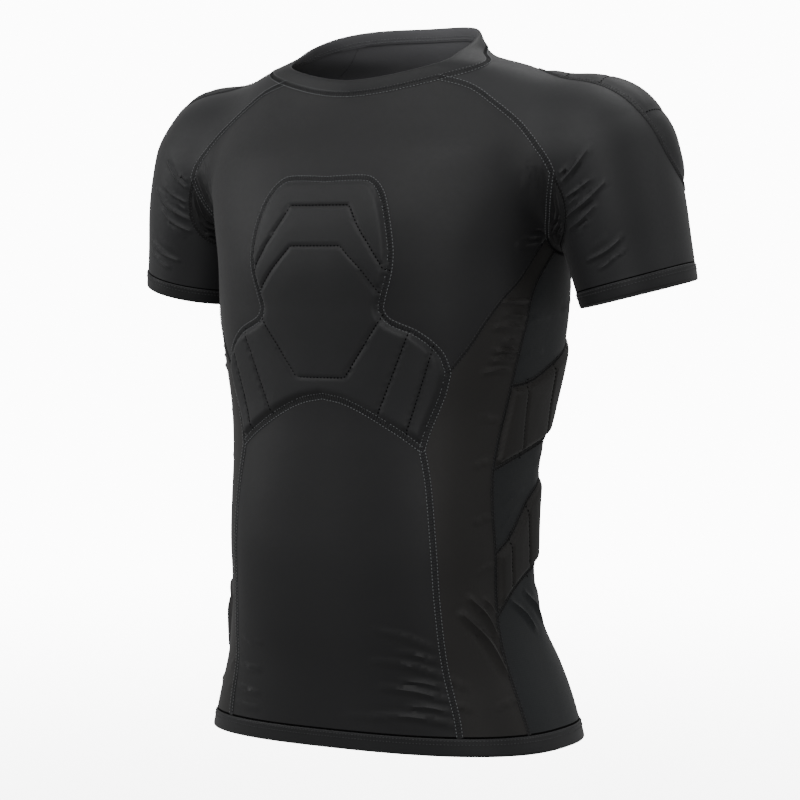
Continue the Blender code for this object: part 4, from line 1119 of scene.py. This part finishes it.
def tape(soup, line, wide, rise=TAPE_RISE):
    """The raised strip of a flat seam, laid on the figure."""
    p, up, side = frames(line, FINE)
    rows = []
    for across, share in TAPE_SECTION:
        q = settle(p + side * (wide * across), 3)
        rows.append(q + normal(q) * (-0.0004 if share is None else share * rise))
    n, m = len(p), len(rows)
    points = np.stack(rows, 1).reshape(-1, 3)
    tris = []
    for k in range(n - 1):
        for i in range(m - 1):
            a = k * m + i
            tris += [(a, a + 1, a + m + 1), (a, a + m + 1, a + m)]
    soup.add(points, np.array(tris)[:, ::-1])


def ladder(strip, needles, line, wide):
    """The cross threads of a flat seam, on its tape, and its two needle rows."""
    p, up, side = frames(line, RUNG_PITCH / 2)
    reach = wide * 0.44
    left = p + side * reach + up * TAPE_RISE
    right = p - side * reach + up * TAPE_RISE
    threads(strip, left[:-1:2], right[1::2], up[:-1:2], arch=0.0005)
    for offset in (reach, -reach):
        q = settle(p + side * offset, 3)
        row(needles, q, NEEDLE_PITCH, 0.60, lift=TAPE_RISE + 0.0001)


def row(soup, line, pitch, share, lift=0.0003, height=None, half=THREAD, facing=1):
    """A row of running stitches along a line; share is the stitch's part of the pitch, and
    facing is -1 for a row on the inside."""
    p, up, _ = frames(line, pitch / 2, height)
    p = p + up * lift
    starts, ends = p[:-1:2], p[1::2]
    count = min(len(starts), len(ends))
    starts, ends = starts[:count], ends[:count]
    ends = starts + (ends - starts) * (2 * share)
    threads(soup, starts, ends, up[:-1:2][:count] * facing, half=half)


def ring_band(levels, section):
    """A turned band all round from its cross-section: (share of height, offset) pairs.
    levels gives the figure's ring at a share of the band's height. The flat coordinates are
    shares of the way round and of the height."""
    rows = []
    for share, offset in section:
        base = levels(share)
        rows.append(base + normal(base) * offset)
    n, m = len(rows[0]), len(rows)
    points = np.vstack(rows)
    tris = []
    for k in range(m):
        for i in range(n):
            j, l = (i + 1) % n, (k + 1) % m
            a, b, c, d = k * n + i, k * n + j, l * n + j, l * n + i
            tris += [(a, b, c), (a, c, d)]
    uv = np.array([(i / n, share) for share, _ in section for i in range(n)])
    return points, np.array(tris), uv


# Cross-sections of the turned bands: share of the height and offset from the figure. The
# lip that reaches past the seam lies against the inside of the panels.
HEM_SECTION = ((0.000, -0.0011), (0.006, -0.0002), (0.045, 0.0005), (0.16, 0.0008),
               (0.40, 0.0008), (0.62, 0.0008), (0.82, 0.0008), (0.93, 0.0006), (0.975, 0.0001),
               (0.985, -0.0008), (0.985, -0.0016), (1.18, -0.0017), (1.20, -0.0019),
               (1.18, -0.0022), (0.80, -0.0022), (0.50, -0.0022), (0.20, -0.0022),
               (0.045, -0.0020), (0.006, -0.0016))
NECK_SECTION = ((-0.18, -0.0017), (0.010, -0.0016), (0.012, -0.0008), (0.03, 0.0001),
                (0.08, 0.0007), (0.25, 0.0010), (0.50, 0.0011), (0.75, 0.0010),
                (0.92, 0.0006), (0.985, 0.0000), (1.0, -0.0009), (0.985, -0.0018),
                (0.92, -0.0022), (0.6, -0.0024), (0.3, -0.0024), (0.0, -0.0023),
                (-0.18, -0.0022), (-0.20, -0.0019))
HEM_INSIDE, NECK_INSIDE = (10, 18), (11, 17)    # their stretches on the inside


def smooth_mesh(name, points, tris, uv=None, sharp=50):
    mesh = bpy.data.meshes.new(name)
    mesh.vertices.add(len(points))
    mesh.vertices.foreach_set("co", np.asarray(points, np.float32).ravel())
    corners = np.asarray(tris, np.int32).ravel()
    mesh.loops.add(len(corners))
    mesh.loops.foreach_set("vertex_index", corners)
    mesh.polygons.add(len(tris))
    mesh.polygons.foreach_set("loop_start", np.arange(0, len(corners), 3, dtype=np.int32))
    mesh.update(calc_edges=True)
    mesh.validate()
    if uv is not None:
        layer = mesh.uv_layers.new(name="cut")
        layer.uv.foreach_set("vector", np.asarray(uv, np.float32)[corners].ravel())
    mesh.polygons.foreach_set("use_smooth", np.ones(len(mesh.polygons), bool))
    mesh.set_sharp_from_angle(angle=math.radians(sharp))
    item = bpy.data.objects.new(name, mesh)
    bpy.context.scene.collection.objects.link(item)
    return item


def outward(points, tris):
    p = points[tris]
    if (p[:, 0] * np.cross(p[:, 1], p[:, 2])).sum() < 0:
        return tris[:, ::-1]
    return tris


# Materials

class Nodes:
    """A material's node tree, built by short calls."""

    def __init__(self, name):
        self.material = bpy.data.materials.new(name)
        self.material.use_nodes = True
        self.tree = self.material.node_tree
        self.shader = self.tree.nodes["Principled BSDF"]

    def node(self, kind, **settings):
        made = self.tree.nodes.new(kind)
        for key, value in settings.items():
            if key in made.inputs:
                made.inputs[key].default_value = value
            else:
                setattr(made, key, value)
        return made

    def link(self, source, target):
        self.tree.links.new(source, target)

    def math(self, operation, a, b=0.0):
        made = self.node("ShaderNodeMath", operation=operation)
        for k, value in enumerate((a, b)):
            if isinstance(value, (int, float)):
                made.inputs[k].default_value = value
            else:
                self.link(value, made.inputs[k])
        return made.outputs[0]

    def times(self, a, b):
        return self.math("MULTIPLY", a, b)

    def plus(self, a, b):
        return self.math("ADD", a, b)

    def noise(self, place, scale, detail):
        made = self.node("ShaderNodeTexNoise", Scale=scale, Detail=detail)
        self.link(place, made.inputs["Vector"])
        return made.outputs["Fac"]

    def paint(self, base, tone):
        """Makes the colour base, lighter and darker by tone."""
        scale = self.node("ShaderNodeVectorMath", operation="SCALE")
        scale.inputs[0].default_value = base
        self.link(tone, scale.inputs["Scale"])
        self.link(scale.outputs[0], self.shader.inputs["Base Color"])

    def relief(self, height, strength, deep):
        bump = self.node("ShaderNodeBump", Strength=strength, Distance=deep)
        self.link(height, bump.inputs["Height"])
        self.link(bump.outputs[0], self.shader.inputs["Normal"])

    def gloss(self, sheen, specular):
        self.shader.inputs["Sheen Weight"].default_value = sheen
        self.shader.inputs["Specular IOR Level"].default_value = specular


def knit(name, base, rough=0.54, sheen=0.07, wale=0.75, course=0.62, deep=0.00003,
         mesh_holes=0.0, specular=0.26):
    """Fine weft knit: wales and courses in millimetres on the flat cut, satin gloss."""
    n = Nodes(name)
    parts = n.node("ShaderNodeSeparateXYZ")
    n.link(n.node("ShaderNodeUVMap", uv_map="cut").outputs["UV"], parts.inputs[0])
    place = n.node("ShaderNodeTexCoord").outputs["Object"]
    u = n.times(parts.outputs["X"], math.pi * 1000 / wale)
    v = n.times(parts.outputs["Y"], 2 * math.pi * 1000 / course)
    column = n.math("ABSOLUTE", n.math("SINE", u))
    loop = n.math("SINE", n.plus(v, n.times(column, 2.2)))
    stitch = n.times(column, n.plus(n.times(loop, 0.35), 0.65))
    fine = n.noise(place, 240.0, 2.0)
    shade = n.node("ShaderNodeMapRange", **{"From Min": 0.3, "From Max": 0.7,
                                            "To Min": 0.88, "To Max": 1.10})
    n.link(n.noise(place, 9.0, 3.0), shade.inputs["Value"])
    tone = n.times(shade.outputs[0], n.plus(n.times(stitch, 0.22), 0.86))
    if mesh_holes:
        dots = n.times(n.math("SINE", n.times(u, 0.5)), n.math("SINE", n.times(v, 0.25)))
        hole = n.math("GREATER_THAN", n.math("ABSOLUTE", dots), 0.72)
        tone = n.times(tone, n.math("SUBTRACT", 1.0, n.times(hole, mesh_holes)))
    n.paint(base, tone)
    n.link(n.plus(n.times(fine, 0.10), rough - 0.05), n.shader.inputs["Roughness"])
    n.gloss(sheen, specular)
    n.shader.inputs["Sheen Roughness"].default_value = 0.45
    n.relief(n.plus(stitch, n.times(fine, 0.8)), 0.5, deep)
    return n.material


def thread_look(name, base, rough=0.6, sheen=0.15, specular=0.3):
    """Twisted thread, and the near-black painted shadow strips over the hem and the cuffs."""
    n = Nodes(name)
    twist = n.noise(n.node("ShaderNodeTexCoord").outputs["Object"], 900.0, 1.0)
    n.paint(base, n.plus(n.times(twist, 0.5), 0.75))
    n.shader.inputs["Roughness"].default_value = rough
    n.gloss(sheen, specular)
    n.relief(twist, 0.4, 0.0001)
    return n.material


FRONT = knit("satin_knit", (0.0100, 0.0100, 0.0107))
SLEEVE = knit("sleeve_knit", (0.0150, 0.0153, 0.0163), rough=0.54)
# Lighter than the front's knit: partly the side cloth's own tone, partly a painted highlight
# for the broad satin sheen down the side front
SIDE_KNIT_PAINTED_HIGHLIGHT = knit("side_knit", (0.0126, 0.0116, 0.0109), rough=0.55, sheen=0.05)
FLANK = knit("flank_mesh_knit", (0.0082, 0.0099, 0.0110), rough=0.62, wale=1.1, course=1.0,
             deep=0.00006, mesh_holes=0.45)
# Lighter than the front's knit: partly the pad cloth's own tone, partly a painted highlight for
# the satin sheen on the chest pad's middle
PAD_KNIT_PAINTED_HIGHLIGHT = knit("pad_knit", (0.0124, 0.0126, 0.0134), rough=0.52)
FLANK_PAD = knit("flank_pad_knit", (0.0096, 0.0087, 0.0078), rough=0.58, sheen=0.05)
GUSSET_CLOTH = knit("gusset_knit", (0.0088, 0.0088, 0.0093), rough=0.56)
BAND_CLOTH = knit("band_knit", (0.0105, 0.0108, 0.0116), rough=0.54)
# The inside: the knit's matte back, its base ten times the outside's; the back is a little
# lighter in itself, the rest is painted light where little light reaches inside the shirt
INSIDE_KNIT_PAINTED_LIGHT = knit("cloth_inside", (0.100, 0.100, 0.105), rough=0.85, sheen=0.12, specular=0.12)
TAPE_LOOK = thread_look("seam_tape", (0.0085, 0.0087, 0.0094), sheen=0.03)
# Painted shade: near-black tape and dark thread that stand in for the shadow along the seams in
# the armpit, down the sides and round the shoulder pads
PAINTED_SHADE_TAPE = thread_look("dark_seam_tape", (0.0040, 0.0040, 0.0043), sheen=0.0)
SEAM_THREAD = thread_look("seam_thread", (0.115, 0.120, 0.124))
PAINTED_SHADE_THREAD = thread_look("dark_seam_thread", (0.018, 0.018, 0.019), sheen=0.03)
HEM_THREAD = thread_look("hem_thread", (0.036, 0.036, 0.038), sheen=0.05)
# Near-black and matte: the quilting threads darkened as painted shade of the dimples where they
# pull the pads down
PAINTED_SHADE_QUILTING = thread_look("quilting_thread", (0.0015, 0.0015, 0.0016), rough=0.9, sheen=0.0,
                           specular=0.05)
# Near-black and matte: painted shadow, the strips over the hem seam and round the cuffs that
# stand in for the shade of their groove
PAINTED_SHADOW = thread_look("hem_painted_shadow", (0.0012, 0.0012, 0.0012), rough=0.9, sheen=0.0,
                     specular=0.05)

# Piece: material and the record's slot
LOOKS = {
    "chest": (FRONT, "front_cloth"), "abdomen": (FRONT, "front_cloth"),
    "back": (FRONT, "front_cloth"), "side_front": (SIDE_KNIT_PAINTED_HIGHLIGHT, "side_cloth"),
    "flank_upper": (FLANK, "flank_cloth"), "flank_mid": (FLANK, "flank_cloth"),
    "flank_lower": (FLANK, "flank_cloth"), "sleeve": (SLEEVE, "sleeve_cloth"),
    "gusset": (GUSSET_CLOTH, "gusset_cloth"), "chest_pad": (PAD_KNIT_PAINTED_HIGHLIGHT, "pad_cloth"),
    "rib_pad": (FLANK_PAD, "pad_cloth"), "kidney_pad": (FLANK_PAD, "pad_cloth"),
    "shoulder_pad": (SLEEVE, "pad_cloth"),
}


def paint_inside_light(item, first, last):
    """Gives the faces of a piece's inside the matte look of the cloth's back, made far lighter
    than the outside as painted light on the shaded inside.
    """
    item.data.materials.append(INSIDE_KNIT_PAINTED_LIGHT)
    index = np.zeros(len(item.data.polygons), np.int32)
    index[first:last] = 1
    item.data.polygons.foreach_set("material_index", index)


def place_piece(item, node, look, slot):
    item.data.materials.append(look)
    if node:
        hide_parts(node)
    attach(item, "root")


def lay(name, soup, look, twice=False, slot=None, sharp=80):
    """Places gathered triangles as one piece; twice adds their mirror image."""
    if twice:
        soup.both_sides()
    place_piece(smooth_mesh(name, *soup.result(), sharp=sharp), None, look, slot)


def dress():
    made, pairs, seams, s, limb = panels()
    quilted = {panel.name: panel for panel in made + pairs if panel.quilt}
    everything = list(made)
    for panel in pairs:
        twin = panel.other_side("right_" + panel.name)
        panel.name = "left_" + panel.name
        everything += [twin, panel]
    for panel in everything:
        points, tris = panel.shell()
        uv = np.vstack([panel.uv, panel.uv])
        item = smooth_mesh(panel.name + "_cloth", points, outward(points, tris), uv)
        kind = panel.name.replace("left_", "").replace("right_", "")
        place_piece(item, panel.name, *LOOKS[kind])
        paint_inside_light(item, len(panel.faces), 2 * len(panel.faces))
        if panel.rise:
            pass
        else:
            width, length, real = panel.cut()
    dress_bands(s, limb)
    dress_seams(seams, quilted, s, limb)


def dress_bands(s, limb):
    neck, hem = full_turn(s.neck_turn), full_turn(s.hem_turn)
    tall = HEM_SEAM - HEM_END
    turn = np.radians(cuff_turn(FINE)[:-1])

    # Name, rings, cross-section, its stretch inside, where its length is taken, and height
    rows = (
        ("neck_band", lambda t: neck_ring(neck, NECK_BAND * t), NECK_SECTION, NECK_INSIDE, 0,
         NECK_BAND),
        ("hem_band", lambda t: level_ring(hem, HEM_END + tall * t), HEM_SECTION, HEM_INSIDE, 1,
         tall),
        ("left_cuff", lambda t: cuff_ring(limb, turn, CUFF_BAND * (1 - t)), HEM_SECTION,
         HEM_INSIDE, 0.5, CUFF_BAND),
    )
    for name, levels, section, hidden, taken, high in rows:
        points, tris, uv = ring_band(levels, section)
        long = float(lengths(closed(levels(taken)))[-1])
        twins = [(name, points)]
        if name == "left_cuff":
            twins.append(("right_cuff", mirrored(points)))
        for own, at in twins:
            item = smooth_mesh(own + "_cloth", at, outward(at, tris), uv * (long, high))
            place_piece(item, own, BAND_CLOTH, "band_cloth")
            per_row = len(tris) // len(section)
            paint_inside_light(item, hidden[0] * per_row, hidden[1] * per_row)


def dress_seams(seams, quilted, s, limb):
    # Looks of a seam: its tape, its thread and its width
    # The dark looks paint shade: near-black tape and thread on the gusset, breast, side, back
    # and flank seams, and dark thread round the shoulder pads
    light, dark = (TAPE_LOOK, SEAM_THREAD, TAPE), (PAINTED_SHADE_TAPE, PAINTED_SHADE_THREAD, DARK_SEAM)
    mixed, soft = (TAPE_LOOK, SEAM_THREAD, 0.7 * TAPE), (TAPE_LOOK, PAINTED_SHADE_THREAD, TAPE)
    groups = {
        "neck_seam": (("neck",), False, light),
        "armhole_seams": (("armhole_front", "armhole_back"), True, light),
        "gusset_tip_seams": (("gusset_tip",), True, mixed),
        "gusset_seams": (("gusset_sleeve", "gusset_low", "underarm"), True, dark),
        "chest_pad_seam": (("chest_pad",), False, light),
        "front_seams": (("princess",), True, light),
        "breast_seams": (("chest_side",), True, dark),
        "side_seams": (("side",), True, dark),
        "back_seams": (("rear",), True, dark),
        "flank_seams": (("cross_1", "cross_2", "cross_3", "cross_4"), True, dark),
        "shoulder_pad_seams": (("shoulder_pad",), True, soft),
    }
    for name, (lines, twice, (tape_look, thread, wide)) in groups.items():
        strip, stitches = Soup(), Soup()
        for key in lines:
            tape(strip, seams[key], wide)
            ladder(strip, stitches, seams[key], wide)
        lay(name + "_tape", strip, tape_look, twice, "band_cloth", sharp=50)
        lay(name + "_thread", stitches, thread, twice)

    hem, neck = full_turn(s.hem_turn), full_turn(s.neck_turn)
    turn = np.radians(np.linspace(-180, 180, 120))
    inner, hem_painted_shadow, cuff_painted_shadow, rows, cuffs = (Soup() for _ in range(5))
    for rise, lift in NECK_ROWS:
        row(inner, closed(neck_ring(neck, rise)), NEEDLE_PITCH, 0.6, lift=lift, facing=-1)
    lay("neck_inner_stitches", inner, SEAM_THREAD)
    # Painted shadow: near-black strips along the hem seam and round the cuffs
    tape(hem_painted_shadow, closed(level_ring(hem, HEM_SEAM)), HEM_SHADOW_LINE, SHADOW_LINE_RISE)
    lay("hem_painted_shadow", hem_painted_shadow, PAINTED_SHADOW, sharp=50)
    tape(cuff_painted_shadow, cuff_ring(limb, turn), CUFF_SHADOW_LINE, SHADOW_LINE_RISE)
    lay("cuff_painted_shadows", cuff_painted_shadow, PAINTED_SHADOW, True, sharp=50)
    for drop in HEM_ROWS:
        row(rows, closed(level_ring(hem, HEM_SEAM - drop)), NEEDLE_PITCH, 0.5, lift=BAND_LIFT)
    lay("hem_stitches", rows, HEM_THREAD)
    for drop in CUFF_ROWS:
        row(cuffs, cuff_ring(limb, turn, drop), NEEDLE_PITCH, 0.5, lift=BAND_LIFT)
    lay("cuff_stitches", cuffs, HEM_THREAD, True)
    for name, panel in quilted.items():
        soup = Soup()
        for line in panel.quilt:
            row(soup, line, QUILT_PITCH, 0.52, lift=0.0001, height=panel.height,
                half=QUILT_THICK)
        lay(name + "_quilting", soup, PAINTED_SHADE_QUILTING, name != "chest_pad")


# Camera, floor and lights
AZIMUTH, ELEVATION, DISTANCE = 31.0, 3.0, 2.75
LENS, SENSOR = 123.75, 36.0
TARGET_HEIGHT, TARGET_RIGHT = -0.342, 0.004
# Name, azimuth and elevation it shines from, distance, width, height and power
LIGHTS = (
    ("key", 4, 50, 2.6, 1.8, 1.4, 30),
    ("fill", 34, 14, 3.2, 1.4, 2.0, 26),
    ("left", -60, 20, 3.0, 1.2, 2.0, 30),
    ("right", 100, 18, 3.0, 1.6, 1.6, 11),
    ("top", 150, 64, 2.6, 2.2, 1.6, 34),
)


def direction(azimuth, elevation):
    a, e = math.radians(azimuth), math.radians(elevation)
    return Vector((math.sin(a) * math.cos(e), -math.cos(a) * math.cos(e), math.sin(e)))


def studio():
    scene = bpy.context.scene
    back = direction(AZIMUTH, ELEVATION)
    right = Vector((math.cos(math.radians(AZIMUTH)), math.sin(math.radians(AZIMUTH)), 0))
    target = Vector((0, 0, TARGET_HEIGHT)) + right * TARGET_RIGHT
    data = bpy.data.cameras.new("camera")
    data.lens, data.sensor_width, data.sensor_fit = LENS, SENSOR, "HORIZONTAL"
    camera = bpy.data.objects.new("camera", data)
    scene.collection.objects.link(camera)
    camera.location = target + back * DISTANCE
    camera.rotation_euler = (-back).to_track_quat("-Z", "Y").to_euler()
    scene.camera = camera
    for name, azimuth, elevation, far, wide, high, power in LIGHTS:
        lamp = bpy.data.lights.new(name, "AREA")
        lamp.shape, lamp.size, lamp.size_y, lamp.energy = "RECTANGLE", wide, high, power
        item = bpy.data.objects.new(name, lamp)
        scene.collection.objects.link(item)
        item.location = target + direction(azimuth, elevation) * far
        look = (target - item.location).normalized()
        item.rotation_euler = look.to_track_quat("-Z", "Y").to_euler()
    world = bpy.data.worlds.new("studio")
    world.use_nodes = True
    sky = world.node_tree.nodes["Background"].inputs
    sky["Color"].default_value, sky["Strength"].default_value = (0.95, 0.95, 0.95, 1.0), 0.40
    scene.world = world
    stage_floor()


# Profile of the floor and the sweep behind it: distance from the middle and height
SWEEP = ((0.0, -1.15), (3.0, -1.15), (6.0, -1.13), (7.4, -0.95), (8.3, -0.45), (8.9, 0.6),
         (9.0, 3.0), (8.2, 6.0), (5.5, 8.4), (0.0, 9.4))


def stage_floor():
    """A pale floor that sweeps up all round. It shows to the camera and lights nothing."""
    line, n = through(SWEEP, 6), 72
    turn = np.linspace(0, 2 * math.pi, n, endpoint=False)
    points = [(r * math.cos(t), r * math.sin(t), z) for r, z in line for t in turn]
    faces = [(k * n + i, k * n + (i + 1) % n, (k + 1) * n + (i + 1) % n, (k + 1) * n + i)
             for k in range(len(line) - 1) for i in range(n)]
    mesh = bpy.data.meshes.new("floor")
    mesh.from_pydata(points, [], faces)
    mesh.polygons.foreach_set("use_smooth", np.ones(len(mesh.polygons), bool))
    floor = bpy.data.objects.new("floor", mesh)
    bpy.context.scene.collection.objects.link(floor)
    pale = Nodes("pale_floor")
    away = pale.node("ShaderNodeVectorMath", operation="LENGTH")
    pale.link(pale.node("ShaderNodeTexCoord").outputs["Object"], away.inputs[0])
    ramp = pale.node("ShaderNodeMapRange", interpolation_type="SMOOTHSTEP",
                     **{"From Min": 1.0, "From Max": 6.0, "To Min": 6.0, "To Max": 12.0})
    pale.link(away.outputs["Value"], ramp.inputs["Value"])
    glow = pale.node("ShaderNodeEmission")
    pale.link(ramp.outputs[0], glow.inputs["Strength"])
    pale.link(glow.outputs[0], pale.tree.nodes["Material Output"].inputs["Surface"])
    mesh.materials.append(pale.material)
    for ray in ("diffuse", "glossy", "shadow", "transmission"):
        setattr(floor, "visible_" + ray, False)


dress()
studio()
